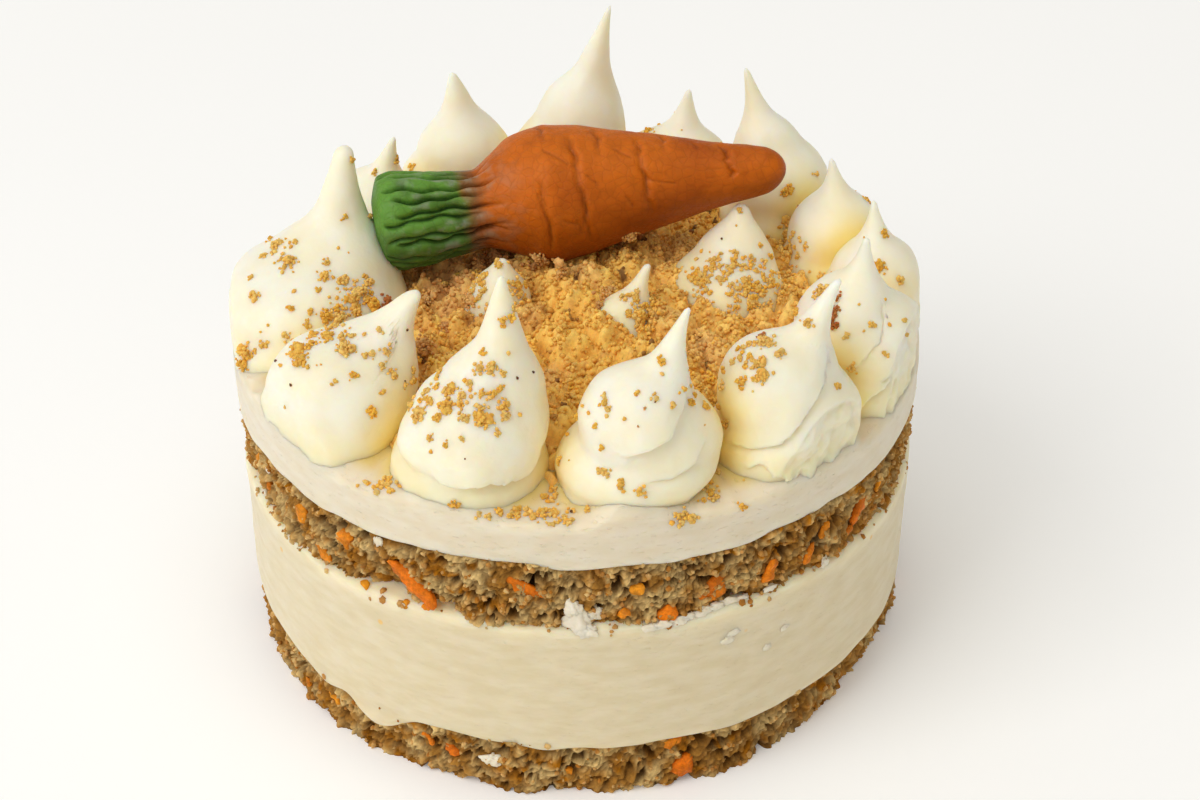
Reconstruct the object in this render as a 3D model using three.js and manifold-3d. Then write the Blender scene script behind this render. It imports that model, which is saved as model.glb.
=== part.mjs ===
// A small carrot cake built up in a ring mould: two layers of carrot sponge, a deep cream filling,
// a cream top with piped kisses round its rim, a bed of cookie crumbs and a marzipan carrot.
// Millimetres, +Z up. The origin is the middle of the underside.
import * as THREE from 'three';
import { mergeVertices } from 'three/addons/utils/BufferGeometryUtils.js';
import Module from 'manifold-3d';

const wasm = await Module();
wasm.setup();

// ------------------------------------------------------------------ driving dimensions
const MOULD_RADIUS = 40;
const MOULD_HEIGHT = 70;
const BASE_TOP = 7.1;
const FILLING_TOP = 24.5;
const SPONGE_TOP = 32.5;
const CREAM_TOP = 38;
const GAP = 0.3;
const COARSE_ALLOWANCE = 0.15;
const LAYER_SEGMENTS = 56;
const SLIVER = 0.06;

// crag: depth of the torn lumps. wobble: slow unevenness of the outline. swells: places where the
// side stands out or in, as [angle, width in degrees, height].
const BASE_SPONGE = {
  bottom: 0, top: BASE_TOP, radius: 39.3, crag: 0.7, wobble: 0.3, seed: 3.1,
  swells: [[-36, 17, -1.5], [-62, 8, 0.3], [-98, 5, 0.7], [150, 20, -0.8], [60, 14, -0.6]],
};
const UPPER_SPONGE = {
  bottom: FILLING_TOP, top: SPONGE_TOP, radius: 39.4, crag: 0.6, wobble: 0.25, seed: 8.4,
  swells: [[-110, 9, 0.4], [20, 12, -0.5], [120, 14, 0.4]],
};
const SPONGE_LEVELS = [0, 0.22, 0.5, 0.78, 1];
// Turns of noise round a sponge for the wobble and the lumps, and per millimetre of height.
const WOBBLE_SCALE = 2.2;
const CRAG_SCALE = 13;
const CRAG_RISE = 0.45;
// Sides of the creams, as [height, radius].
const FILLING_LEVELS = [
  [BASE_TOP, 39.6], [BASE_TOP + 1.2, 39.9], [FILLING_TOP - 1, 39.9], [FILLING_TOP, 39.5],
];
const TOP_CREAM_LEVELS = [
  [SPONGE_TOP, 39.6], [SPONGE_TOP + 0.7, 39.9], [CREAM_TOP - 0.9, 39.9], [CREAM_TOP - 0.25, 39.55],
  [CREAM_TOP, 38.9],
];
const CREAM_WOBBLE = 0.14;

// Piped kisses, anticlockwise from the front left, seen from above. at: middle of the foot. balls: the
// squashed balls of cream that build up a kiss, as [x, y, z, radius, half height] from its foot.
// root and tip: ends of the drawn-out peak, as [x, y, z, radius] from the foot. taper: how the peak
// narrows, 1 in a straight line, more for a waist. crumbs: lumps stuck on it, as [angle in degrees from
// +X, share of the height, radius].
const KISSES = {
  kiss_01: {
    at: [-26.1, -21.3],
    balls: [[0.5, 0.3, 3.6, 7.8, 7.2], [-0.6, -0.8, 1.4, 8.0, 4.4], [3.4, 1.6, 5.2, 5.4, 6.2]],
    root: [5.4, 2.4, 9.2, 3.4], tip: [9.2, 3.4, 14.8, 0.7], taper: 0.9,
    crumbs: [[-110, 0.62, 1.5], [-80, 0.72, 1.3], [-60, 0.66, 1.2]],
  },
  kiss_02: {
    at: [-10.8, -29.4],
    balls: [
      [-0.2, 0.2, 1.2, 8.2, 4.0], [0.8, 0.1, 5.8, 7.1, 6.0],
      [-0.4, -1.2, 4.8, 7.0, 3.4], [2.0, 0.8, 8.6, 5.2, 5.4],
    ],
    root: [3.3, 1.4, 10.5, 3.7], tip: [3.6, 2.0, 22.2, 0.3], taper: 0.95,
    crumbs: [[-120, 0.4, 1.0]],
  },
  kiss_03: {
    at: [6.4, -30.6],
    balls: [
      [-0.4, 0.2, 1.8, 8.0, 4.6], [2.7, 0.3, 4.8, 6.4, 5.2],
      [0.9, -0.6, 2.6, 7.8, 3.6], [0.2, -0.3, 7.2, 6.1, 6.0],
    ],
    root: [2.9, 1.2, 12.0, 2.3], tip: [5.2, 1.7, 19.4, 0.3], taper: 1.2,
    crumbs: [],
  },
  kiss_04: {
    at: [21.9, -25.1],
    balls: [
      [0.2, 0, 1.4, 7.9, 4.0], [1.8, 0.1, 4.6, 6.7, 4.4],
      [0.9, 0.1, 2.6, 7.6, 3.2], [-0.8, 0.4, 7.0, 6.1, 6.2],
    ],
    root: [2.4, 1.6, 11.6, 2.8], tip: [5.4, 2.2, 19.2, 0.45], taper: 1.3,
    crumbs: [[130, 0.55, 1.6], [100, 0.86, 1.2]],
  },
  kiss_05: {
    at: [31.0, -12.9],
    balls: [[0, 0, 1.6, 8.6, 4.4], [1.4, -0.2, 5.6, 7.2, 5.4], [-1.2, 0.4, 6.4, 6.0, 6.6]],
    root: [0.1, 0.6, 11.8, 2.4], tip: [0.4, 0.6, 18.0, 0.35], taper: 1.35,
    crumbs: [],
  },
  kiss_06: {
    at: [34.3, 0.8],
    balls: [[0, 0, 1.6, 6.8, 4.0], [0.6, 0.3, 4.6, 5.6, 5.2]],
    root: [0.2, 0.8, 8.6, 2.2], tip: [-0.2, 2.2, 14.2, 0.3], taper: 1.3,
    crumbs: [],
  },
  kiss_07: {
    at: [32.0, 10.6],
    balls: [[0, 0, 1.6, 7.4, 4.2], [-0.8, 0.2, 5.2, 5.8, 5.4]],
    root: [-1.2, 0.8, 9.8, 2.0], tip: [-2.0, 1.2, 15.0, 0.3], taper: 1.3,
    crumbs: [[60, 0.45, 1.1]],
  },
  kiss_08: {
    at: [25.1, 21.6],
    balls: [[0, 0, 1.8, 7.6, 4.4], [-0.2, 0.4, 6.0, 6.4, 6.2], [-1.6, 1.0, 9.6, 4.3, 5.0]],
    root: [-2.6, 1.8, 12.4, 2.4], tip: [-4.7, 3.2, 20.6, 0.3], taper: 1.15,
    crumbs: [[20, 0.5, 1.2]],
  },
  kiss_09: {
    at: [12.4, 29.4],
    balls: [[0, 0, 1.6, 7.8, 4.0], [0.6, 0, 5.0, 6.2, 5.0], [-2.6, 0, 5.6, 3.8, 4.0]],
    root: [0.8, 0.2, 9.0, 2.4], tip: [1.4, 0.2, 15.4, 0.3], taper: 1.1,
    crumbs: [[-150, 0.6, 1.3]],
  },
  kiss_10: {
    at: [-2.2, 29.3],
    balls: [[0, 0, 2.0, 8.2, 4.8], [0.8, 0.2, 6.4, 7.0, 6.2], [2.0, 0.3, 11.0, 5.3, 5.8]],
    root: [3.6, 0.3, 15.6, 3.2], tip: [6.1, 0.3, 26.6, 0.25], taper: 1.25,
    crumbs: [],
  },
  kiss_11: {
    at: [-15.2, 27.0],
    balls: [[-0.2, 0, 1.8, 7.8, 4.4], [0.9, 0.2, 8.2, 5.6, 4.6], [-0.4, 0, 4.6, 6.7, 4.2]],
    root: [0.6, 0.8, 12.2, 2.6], tip: [-0.4, 1.2, 18.4, 0.35], taper: 0.95,
    crumbs: [[-40, 0.6, 1.0]],
  },
  kiss_12: {
    at: [-26.2, 17.8],
    balls: [[0, 0, 1.6, 7.6, 4.2], [1.0, 0.2, 5.0, 5.8, 4.8]],
    root: [2.6, 0.3, 9.2, 2.0], tip: [4.0, 0.4, 14.6, 0.3], taper: 1.1,
    crumbs: [],
  },
  kiss_13: {
    at: [-31.2, -2.0],
    balls: [[0.4, 0.6, 2.2, 11.5, 8.2], [-1.0, -1.0, 1.2, 11.6, 4.8], [2.4, 2.8, 5.0, 8.2, 7.2]],
    root: [3.8, 4.4, 11.0, 3.8], tip: [4.9, 6.0, 20.7, 1.05], taper: 1.5,
    crumbs: [[-130, 0.3, 1.3], [-100, 0.2, 1.0]],
  },
  kiss_14: {
    at: [-9.0, -3.9],
    balls: [[0, 0, 2.8, 4.0, 4.6], [0.2, 0, 5.0, 3.2, 3.6]],
    root: [0.4, 0, 7.8, 1.4], tip: [0.6, 0.1, 10.4, 0.5], taper: 1,
    crumbs: [[-80, 0.75, 0.9]],
  },
  kiss_15: {
    at: [5.1, -6.9],
    balls: [[0, 0, 3.0, 3.8, 3.8]],
    root: [1.4, 0.8, 6.0, 1.6], tip: [3.0, 1.7, 10.6, 0.4], taper: 1.2,
    crumbs: [],
  },
  kiss_16: {
    at: [17.4, 2.0],
    balls: [[0, 0, 2.6, 6.9, 5.0], [1.0, 2.2, 5.2, 4.6, 4.2]],
    root: [1.4, 3.4, 8.2, 2.2], tip: [1.8, 4.6, 11.8, 0.7], taper: 1,
    crumbs: [],
  },
};
// How softly two balls meet, and a ball and the peak.
const BALL_BLEND = 0.32;
const PEAK_BLEND = 0.9;
const PEAK_BEND = 1.3;
const KISS_ROWS = 11;
const KISS_SEGMENTS = 18;
const SMALL_KISS_SEGMENTS = 12;
const SMALL_KISS_FOOT = 5;
const ROOM_ROWS = 9;
const TIP_RADIUS = 0.15;
// Steps to find the skin along a ray, and along the profile of a kiss.
const FIELD_STEPS = 24;
const FIELD_HALVINGS = 12;
const PROFILE_STEPS = 60;
// Nearer the front first: where two kisses touch, the later one here gives way to the earlier.
const PIPING_ORDER = [2, 3, 4, 1, 5, 13, 6, 7, 8, 10, 9, 11, 12, 16, 14, 15];

// The marzipan carrot: its axis from the leaf end to the root tip, and its radius along it.
const CARROT = {
  axis: [[-23.4, 3.2, 49.1], [-11.6, 5.4, 49.7], [-3.9, 7.8, 50.4], [24.4, 9.0, 53.4]],
  radii: [
    [0, 4.2], [0.8, 5.3], [2.6, 5.9], [6, 5.6], [9.5, 4.9], [12.4, 4.5], [15.3, 6.1], [17.7, 7.5],
    [20.7, 8.1], [24.9, 7.5], [29.6, 6.4], [34.4, 5.25], [39.2, 4.1], [44, 3.2], [46.8, 2.3], [48.1, 1.2],
  ],
  cuts: [20.1, 24.6, 28.8, 32.4, 37.8, 44.2],
  cutDepth: 0.45,
  cutWidth: 0.9,
  leafFade: [7.4, 13.4],
  leafRibs: 10,
  ribDepth: 0.4,
};
const CARROT_STEPS = [
  0, 0.8, 2.6, 5, 7.6, 10, 12.4, 14.6, 16.8, 18.9, 20.1, 21.3, 23.4, 24.6, 25.8, 27.6, 28.8, 30, 31.3, 32.4,
  33.6, 35.4, 36.7, 37.8, 38.9, 41, 43.1, 44.2, 45.3, 47, 48.1,
];
const CARROT_SEGMENTS = 20;
const CARROT_ROOM_STEPS = CARROT.radii.map(([step]) => step);
const CARROT_ROOM_SEGMENTS = 16;

// The bed of cookie crumbs, heaped towards the middle, with larger lumps on it.
const BED = { radius: 33, height: 5.3, skirt: 0.7, bump: 0.7, cells: 22 };
const LUMPS = { count: 16, radius: 1.5, spread: 0.45, reach: 26, seed: 41 };
// How far a lump's middle stands off what it is stuck on, as a share of its radius.
const LUMP_STAND = 0.25;
// Least and most stretch of a lump across and upwards.
const LUMP_WIDE = [0.8, 1.3];
const LUMP_TALL = [0.75, 1.15];

// ------------------------------------------------------------------ helpers
const radians = THREE.MathUtils.degToRad;

// Repeatable scatter, 0 to 1, at a whole-number point.
function lattice(x, y, z) {
  const wave = Math.sin(x * 127.1 + y * 311.7 + z * 74.7) * 43758.5453;
  return wave - Math.floor(wave);
}

// Smooth noise from -1 to 1.
function noise(x, y, z) {
  const corner = [Math.floor(x), Math.floor(y), Math.floor(z)];
  const ease = [x, y, z].map((value, axis) => THREE.MathUtils.smoothstep(value - corner[axis], 0, 1));
  let sum = 0;
  for (const i of [0, 1]) {
    for (const j of [0, 1]) {
      for (const k of [0, 1]) {
        const weights = [i, j, k].map((far, axis) => (far ? ease[axis] : 1 - ease[axis]));
        sum += weights[0] * weights[1] * weights[2] * lattice(corner[0] + i, corner[1] + j, corner[2] + k);
      }
    }
  }
  return 2 * sum - 1;
}

// Straight-line reading of a table of [place, value] pairs.
function readTable(table, place) {
  const after = table.findIndex(([x]) => x >= place);
  if (after <= 0) return after === 0 ? table[0][1] : table[table.length - 1][1];
  const [x0, y0] = table[after - 1];
  const [x1, y1] = table[after];
  return y0 + ((place - x0) / (x1 - x0)) * (y1 - y0);
}

// A closed skin over rings of equal counts, each anticlockwise seen from the far end, with flat
// fans to the two end points.
function loft(rings, startPoint, endPoint) {
  const segments = rings[0].length;
  const points = [...rings.flat(), startPoint, endPoint];
  const start = points.length - 2;
  const end = points.length - 1;
  const last = (rings.length - 1) * segments;
  const faces = [];
  for (let column = 0; column < segments; column += 1) {
    const next = (column + 1) % segments;
    faces.push(start, next, column);
    faces.push(end, last + column, last + next);
    for (let row = 0; row < last; row += segments) {
      faces.push(row + column, row + next, row + segments + next);
      faces.push(row + column, row + segments + next, row + segments + column);
    }
  }
  const geometry = new THREE.BufferGeometry().setFromPoints(points);
  geometry.setIndex(faces);
  return geometry;
}

function toSolid(geometry) {
  const bare = geometry.clone();
  bare.deleteAttribute('normal');
  bare.deleteAttribute('uv');
  const merged = mergeVertices(bare, 1e-4);
  const mesh = new wasm.Mesh({
    numProp: 3,
    vertProperties: new Float32Array(merged.attributes.position.array),
    triVerts: new Uint32Array(merged.index.array),
  });
  return new wasm.Manifold(mesh);
}

// The largest body of a solid, as a geometry. Loose scraps that a cut leaves are dropped.
function toGeometry(solid) {
  const bodies = solid.simplify(SLIVER).decompose();
  bodies.sort((one, other) => other.volume() - one.volume());
  const mesh = bodies[0].getMesh();
  const geometry = new THREE.BufferGeometry();
  geometry.setAttribute('position', new THREE.BufferAttribute(mesh.vertProperties, 3));
  geometry.setIndex(new THREE.BufferAttribute(mesh.triVerts, 1));
  return geometry;
}

const cake = new THREE.Group();

function addPart(name, geometry, look) {
  geometry.computeVertexNormals();
  const part = new THREE.Mesh(geometry, new THREE.MeshStandardMaterial({ metalness: 0, ...look }));
  part.name = name;
  cake.add(part);
}

const CREAM = { color: '#f6f0dc', roughness: 0.5 };
const FILLING = { color: '#efe8cf', roughness: 0.45 };
const SPONGE = { color: '#8a6a41', roughness: 0.95 };
const CRUMB = { color: '#d9a758', roughness: 0.95 };
const MARZIPAN = { color: '#b4601f', roughness: 0.5 };

// ------------------------------------------------------------------ the layers
// A disc from [height, radius] levels. relief(angle, height) adds to the radius.
function layer(levels, relief) {
  const rings = levels.map(([height, radius]) => {
    const ring = [];
    for (let step = 0; step < LAYER_SEGMENTS; step += 1) {
      const angle = (step / LAYER_SEGMENTS) * 2 * Math.PI;
      const reach = Math.min(radius + relief(angle, height), MOULD_RADIUS);
      ring.push(new THREE.Vector3(reach * Math.cos(angle), reach * Math.sin(angle), height));
    }
    return ring;
  });
  const bottom = new THREE.Vector3(0, 0, levels[0][0]);
  const top = new THREE.Vector3(0, 0, levels[levels.length - 1][0]);
  return loft(rings, bottom, top);
}

// Torn, craggy side of a sponge layer: coarse lumps and a slow wobble of the outline.
function sponge({ bottom, top, radius, crag, wobble, seed, swells }) {
  const levels = SPONGE_LEVELS.map((share) => [bottom + share * (top - bottom), radius]);
  return layer(levels, (angle, height) => {
    const x = Math.cos(angle);
    const y = Math.sin(angle);
    let slow = noise(x * WOBBLE_SCALE + seed, y * WOBBLE_SCALE, seed) * wobble;
    for (const [middle, width, rise] of swells) {
      const off = Math.atan2(Math.sin(angle - radians(middle)), Math.cos(angle - radians(middle)));
      slow += rise * Math.exp(-((off / radians(width)) ** 2));
    }
    return slow + noise(x * CRAG_SCALE, y * CRAG_SCALE, height * CRAG_RISE + seed) * crag;
  });
}

// Smooth cream: only a slow unevenness of the outline.
function creamLayer(levels, seed) {
  return layer(levels, (angle) => CREAM_WOBBLE * noise(Math.cos(angle) * 2, Math.sin(angle) * 2, seed));
}

// ------------------------------------------------------------------ piped kisses
const mouldRoom = toSolid(
  new THREE.CylinderGeometry(MOULD_RADIUS, MOULD_RADIUS, MOULD_HEIGHT, LAYER_SEGMENTS)
    .rotateX(Math.PI / 2)
    .translate(0, 0, MOULD_HEIGHT / 2),
);

function softMin(values, blend) {
  const sum = values.reduce((total, value) => total + Math.exp(-value / blend), 0);
  return -blend * Math.log(sum);
}

// The middle of a kiss at a height: upright to the root of the peak, then bending over to its tip.
function kissAxis({ root, tip }, height) {
  if (height < root[2]) return [(root[0] * height) / root[2], (root[1] * height) / root[2]];
  const bend = ((height - root[2]) / (tip[2] - root[2])) ** PEAK_BEND;
  return [0, 1].map((axis) => root[axis] + (tip[axis] - root[axis]) * bend);
}

function peakRadius({ root, tip, taper }, height) {
  const share = THREE.MathUtils.clamp((height - root[2]) / (tip[2] - root[2]), -1, 1);
  const radius = tip[3] + (root[3] - tip[3]) * (1 - share) ** taper;
  const cap = THREE.MathUtils.clamp((tip[2] - height) / tip[3], 0, 1);
  return radius * Math.sqrt(cap * (2 - cap));
}

// Distance of a place from the skin of a kiss, measured from its foot and negative inside.
function kissField(kiss, [x, y, z]) {
  const balls = kiss.balls.map(([ballX, ballY, ballZ, radius, half]) => {
    const offset = [x - ballX, y - ballY, z - ballZ];
    const size = Math.hypot(offset[0] / radius, offset[1] / radius, offset[2] / half);
    return size < 1e-6 ? -radius : Math.hypot(...offset) * (1 - 1 / size);
  });
  const [middleX, middleY] = kissAxis(kiss, z);
  const peak = Math.hypot(x - middleX, y - middleY) - peakRadius(kiss, z);
  return softMin([softMin(balls, BALL_BLEND), peak], PEAK_BLEND);
}

// How far the skin, pushed out by grow, stands off the axis of a kiss in a direction.
function kissRadius(kiss, angle, height, grow) {
  const [middleX, middleY] = kissAxis(kiss, height);
  const field = (reach) => {
    const place = [middleX + reach * Math.cos(angle), middleY + reach * Math.sin(angle), height];
    return kissField(kiss, place) - grow;
  };
  let outside = kissReach(kiss);
  const step = outside / FIELD_STEPS;
  while (outside > step && field(outside - step) > 0) outside -= step;
  let inside = outside - step;
  for (let halving = 0; halving < FIELD_HALVINGS; halving += 1) {
    const middle = (inside + outside) / 2;
    if (field(middle) > 0) outside = middle;
    else inside = middle;
  }
  return Math.max(inside, TIP_RADIUS);
}

function kissReach({ balls }) {
  return 2 + Math.max(...balls.map(([x, y, , radius]) => radius + Math.hypot(x, y)));
}

// Heights from foot to tip, evenly spaced along the profile of a kiss.
function kissHeights(kiss, rows) {
  const heights = Array.from({ length: PROFILE_STEPS }, (_, step) => (kiss.tip[2] * step) / PROFILE_STEPS);
  const radii = heights.map((height) => {
    const sides = [0, 1, 2, 3, 4, 5].map((side) => kissRadius(kiss, (side * Math.PI) / 3, height, 0));
    return sides.reduce((sum, radius) => sum + radius) / sides.length;
  });
  const travelled = [[0, 0]];
  for (let step = 1; step < PROFILE_STEPS; step += 1) {
    const stride = Math.hypot(heights[step] - heights[step - 1], radii[step] - radii[step - 1]);
    travelled.push([travelled[step - 1][0] + stride, heights[step]]);
  }
  const [length] = travelled[PROFILE_STEPS - 1];
  return Array.from({ length: rows }, (_, row) => readTable(travelled, (length * row) / (rows - 1)));
}

// One point of the skin of a kiss.
function kissPoint(kiss, angle, height, grow) {
  const [middleX, middleY] = kissAxis(kiss, height);
  const radius = kissRadius(kiss, angle, height, grow);
  const x = kiss.at[0] + middleX + radius * Math.cos(angle);
  const y = kiss.at[1] + middleY + radius * Math.sin(angle);
  return new THREE.Vector3(x, y, CREAM_TOP + height);
}

function kissGeometry(kiss, rows, grow) {
  const segments = kiss.balls[0][3] < SMALL_KISS_FOOT ? SMALL_KISS_SEGMENTS : KISS_SEGMENTS;
  const rings = kissHeights(kiss, rows).map((height) => {
    const ring = [];
    for (let step = 0; step < segments; step += 1) {
      ring.push(kissPoint(kiss, (step / segments) * 2 * Math.PI, height, grow));
    }
    return ring;
  });
  for (const point of rings[0]) point.z -= grow;
  const [footX, footY] = kiss.at;
  const [leanX, leanY, height] = kiss.tip;
  const foot = new THREE.Vector3(footX, footY, CREAM_TOP - grow);
  const tip = new THREE.Vector3(footX + leanX, footY + leanY, CREAM_TOP + height + grow);
  return loft(rings, foot, tip);
}

// A kiss with the flat face that the wall of the mould gives it, and the lumps stuck on it.
function kissSolid(kiss) {
  const piped = toSolid(kissGeometry(kiss, KISS_ROWS, 0));
  return crumbsOn(kiss, piped.intersect(mouldRoom), 0);
}

// The space that a kiss keeps free of its neighbours, with few faces.
function kissRoom(kiss) {
  const room = toSolid(kissGeometry(kiss, ROOM_ROWS, GAP + COARSE_ALLOWANCE));
  return crumbsOn(kiss, room, 2 * GAP);
}

// A lump of crumb: a squashed, uneven icosahedron.
function lump(place, radius, seed) {
  const geometry = new THREE.IcosahedronGeometry(radius, 0);
  const wide = THREE.MathUtils.lerp(...LUMP_WIDE, lattice(seed, 1, 0));
  const tall = THREE.MathUtils.lerp(...LUMP_TALL, lattice(seed, 2, 0));
  geometry.scale(wide, 1, tall);
  geometry.rotateX(2 * Math.PI * lattice(seed, 3, 0));
  geometry.rotateZ(2 * Math.PI * lattice(seed, 4, 0));
  geometry.translate(place.x, place.y, place.z);
  return toSolid(geometry);
}

function crumbsOn(kiss, solid, grow) {
  let joined = solid;
  for (const [angle, share, radius] of kiss.crumbs) {
    const place = kissPoint(kiss, radians(angle), share * kiss.tip[2], LUMP_STAND * radius);
    joined = joined.add(lump(place, radius + grow, angle + share));
  }
  return joined;
}

// ------------------------------------------------------------------ the marzipan carrot
function carrotGeometry(steps, segments, grow) {
  const axis = new THREE.CatmullRomCurve3(CARROT.axis.map((point) => new THREE.Vector3(...point)));
  const up = new THREE.Vector3(0, 0, 1);
  const rings = steps.map((step) => {
    const share = step / axis.getLength();
    const centre = axis.getPointAt(share);
    const along = axis.getTangentAt(share);
    const side = up.clone().cross(along).normalize();
    const rise = along.clone().cross(side);
    const ring = [];
    for (let index = 0; index < segments; index += 1) {
      const angle = (index / segments) * 2 * Math.PI;
      const radius = carrotRadius(step, angle) + grow;
      const offset = side.clone().multiplyScalar(radius * Math.cos(angle));
      ring.push(offset.addScaledVector(rise, radius * Math.sin(angle)).add(centre));
    }
    return ring;
  });
  const ends = [0, 1].map((share) => {
    const outward = axis.getTangentAt(share).multiplyScalar(share === 0 ? -grow : grow);
    return axis.getPointAt(share).add(outward);
  });
  return loft(rings, ends[0], ends[1]);
}

// Ribs pinched along the leaf end, and shallow knife marks across the root.
function carrotRadius(step, angle) {
  let radius = readTable(CARROT.radii, step);
  const leaf = 1 - THREE.MathUtils.smoothstep(step, ...CARROT.leafFade);
  radius += CARROT.ribDepth * leaf * Math.cos(CARROT.leafRibs * angle) * Math.min(1, step);
  for (const cut of CARROT.cuts) {
    radius -= CARROT.cutDepth * Math.exp(-(((step - cut) / CARROT.cutWidth) ** 2));
  }
  return radius;
}

// ------------------------------------------------------------------ the crumb bed
function bedHeight(x, y) {
  const share = Math.min(1, Math.hypot(x, y) / BED.radius);
  return CREAM_TOP + BED.skirt + BED.height * (1 - share ** 2);
}

// The bed is a square net of cells drawn out to a disc, with a bump or a hollow at each crossing.
function bedGeometry() {
  const { cells, radius } = BED;
  const geometry = new THREE.BoxGeometry(2, 2, 1, cells, cells, 1);
  const corners = geometry.attributes.position;
  for (let index = 0; index < corners.count; index += 1) {
    const x = corners.getX(index);
    const y = corners.getY(index);
    const angle = Math.atan2(y, x);
    const out = radius * Math.max(Math.abs(x), Math.abs(y));
    const top = corners.getZ(index) > 0;
    const bump = BED.bump * (2 * lattice(Math.round(x * cells), Math.round(y * cells), 5) - 1);
    const place = [out * Math.cos(angle), out * Math.sin(angle)];
    corners.setXYZ(index, ...place, top ? bedHeight(...place) + bump : CREAM_TOP);
  }
  return geometry;
}

function insideKiss(x, y) {
  return Object.values(KISSES).some(({ at, balls }) => Math.hypot(x - at[0], y - at[1]) < balls[0][3]);
}

function crumbBed() {
  let heap = toSolid(bedGeometry());
  let placed = 0;
  for (let draw = 0; placed < LUMPS.count; draw += 1) {
    const reach = LUMPS.reach * Math.sqrt(lattice(draw, LUMPS.seed, 1));
    const angle = 2 * Math.PI * lattice(draw, LUMPS.seed, 2);
    const x = reach * Math.cos(angle);
    const y = reach * Math.sin(angle);
    if (insideKiss(x, y)) continue;
    const radius = LUMPS.radius + LUMPS.spread * (2 * lattice(draw, LUMPS.seed, 3) - 1);
    const place = new THREE.Vector3(x, y, bedHeight(x, y) + LUMP_STAND * radius);
    heap = heap.add(lump(place, radius, draw));
    placed += 1;
  }
  return heap;
}

// ------------------------------------------------------------------ assembly
addPart('base_sponge', sponge(BASE_SPONGE), SPONGE);
addPart('cream_filling', creamLayer(FILLING_LEVELS, 5), FILLING);
addPart('upper_sponge', sponge(UPPER_SPONGE), SPONGE);
addPart('top_cream', creamLayer(TOP_CREAM_LEVELS, 9), CREAM);

addPart('marzipan_carrot', carrotGeometry(CARROT_STEPS, CARROT_SEGMENTS, 0), MARZIPAN);
const carrotRoom = toSolid(carrotGeometry(CARROT_ROOM_STEPS, CARROT_ROOM_SEGMENTS, GAP + COARSE_ALLOWANCE));

let heap = crumbBed().subtract(carrotRoom);
const standing = [];
for (const number of PIPING_ORDER) {
  const name = `kiss_${String(number).padStart(2, '0')}`;
  const kiss = KISSES[name];
  let solid = kissSolid(kiss).subtract(carrotRoom);
  for (const neighbour of standing) solid = solid.subtract(neighbour);
  addPart(name, toGeometry(solid), CREAM);
  const room = kissRoom(kiss);
  standing.push(room);
  heap = heap.subtract(room);
}
addPart('crumb_heap', toGeometry(heap), CRUMB);

export default cake;
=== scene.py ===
"""The looks of a small carrot cake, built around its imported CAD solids.

Shapes are worked out in millimetres, in the frame of the CAD model, and turned into metres when a mesh is
made. Every visible piece stands for one CAD node, apart from the loose crumbs, carrot shreds, cream smears and
sponge bits, which have none. Angles run anticlockwise seen from above, and -90 degrees faces the camera.
"""
import itertools
import math

import bmesh
import bpy
import numpy as np
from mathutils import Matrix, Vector
from mathutils.bvhtree import BVHTree


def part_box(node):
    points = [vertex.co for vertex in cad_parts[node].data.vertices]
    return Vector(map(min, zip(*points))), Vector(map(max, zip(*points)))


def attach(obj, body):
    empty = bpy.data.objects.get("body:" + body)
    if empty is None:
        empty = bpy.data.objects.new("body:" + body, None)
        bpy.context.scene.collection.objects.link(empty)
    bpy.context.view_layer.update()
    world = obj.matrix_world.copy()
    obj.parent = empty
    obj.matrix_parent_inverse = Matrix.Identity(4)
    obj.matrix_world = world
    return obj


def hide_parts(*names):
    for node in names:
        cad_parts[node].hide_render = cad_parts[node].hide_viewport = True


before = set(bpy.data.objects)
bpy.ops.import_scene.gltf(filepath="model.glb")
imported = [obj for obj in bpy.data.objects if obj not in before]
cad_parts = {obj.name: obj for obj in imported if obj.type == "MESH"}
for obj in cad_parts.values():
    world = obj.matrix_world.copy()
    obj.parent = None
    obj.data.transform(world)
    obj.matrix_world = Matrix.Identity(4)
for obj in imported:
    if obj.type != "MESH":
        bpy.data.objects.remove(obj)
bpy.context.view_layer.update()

MM = 0.001
SEED = 20


def top_of(node):
    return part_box(node)[1].z / MM


BASE_TOP = top_of("base_sponge")
FILLING_TOP = top_of("cream_filling")
SPONGE_TOP = top_of("upper_sponge")
CREAM_TOP = top_of("top_cream")
# Inner radius of the ring mould that the sides of the cake were pressed against.
WALL = 39.95
# More than any distance that matters, in mm or in cells.
FAR = 9.0

# ------------------------------------------------------------------ the picture's camera
# Fitted to the photo from the curves of the layers. Width and height in pixels, the rest in mm.
PICTURE_WIDTH = 1200
PICTURE_HEIGHT = 800
SENSOR = 36.0
LENS = 62.69
CAMERA_PLACE = np.array([2.69, -208.17, 167.78])
CAMERA_TILT = math.radians(34.14)
LOOKING = np.array([0, math.cos(CAMERA_TILT), -math.sin(CAMERA_TILT)])
PICTURE_UP = np.array([0, math.sin(CAMERA_TILT), math.cos(CAMERA_TILT)])
PICTURE_RIGHT = np.array([1.0, 0, 0])


def pixel_direction(x, y):
    """The direction that a pixel of the picture looks in."""
    pixels_per_unit = PICTURE_WIDTH * LENS / SENSOR
    across = (x - PICTURE_WIDTH / 2) / pixels_per_unit
    upward = (PICTURE_HEIGHT / 2 - y) / pixels_per_unit
    direction = LOOKING + PICTURE_RIGHT * across + PICTURE_UP * upward
    return direction / np.linalg.norm(direction)


# ------------------------------------------------------------------ noise
# The customary numbers of a sine hash, and the step that keeps octaves of noise apart.
HASH_X = 127.1
HASH_Y = 311.7
HASH_Z = 74.7
HASH_SPREAD = 43758.5453
OCTAVE_STEP = 7.3


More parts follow.
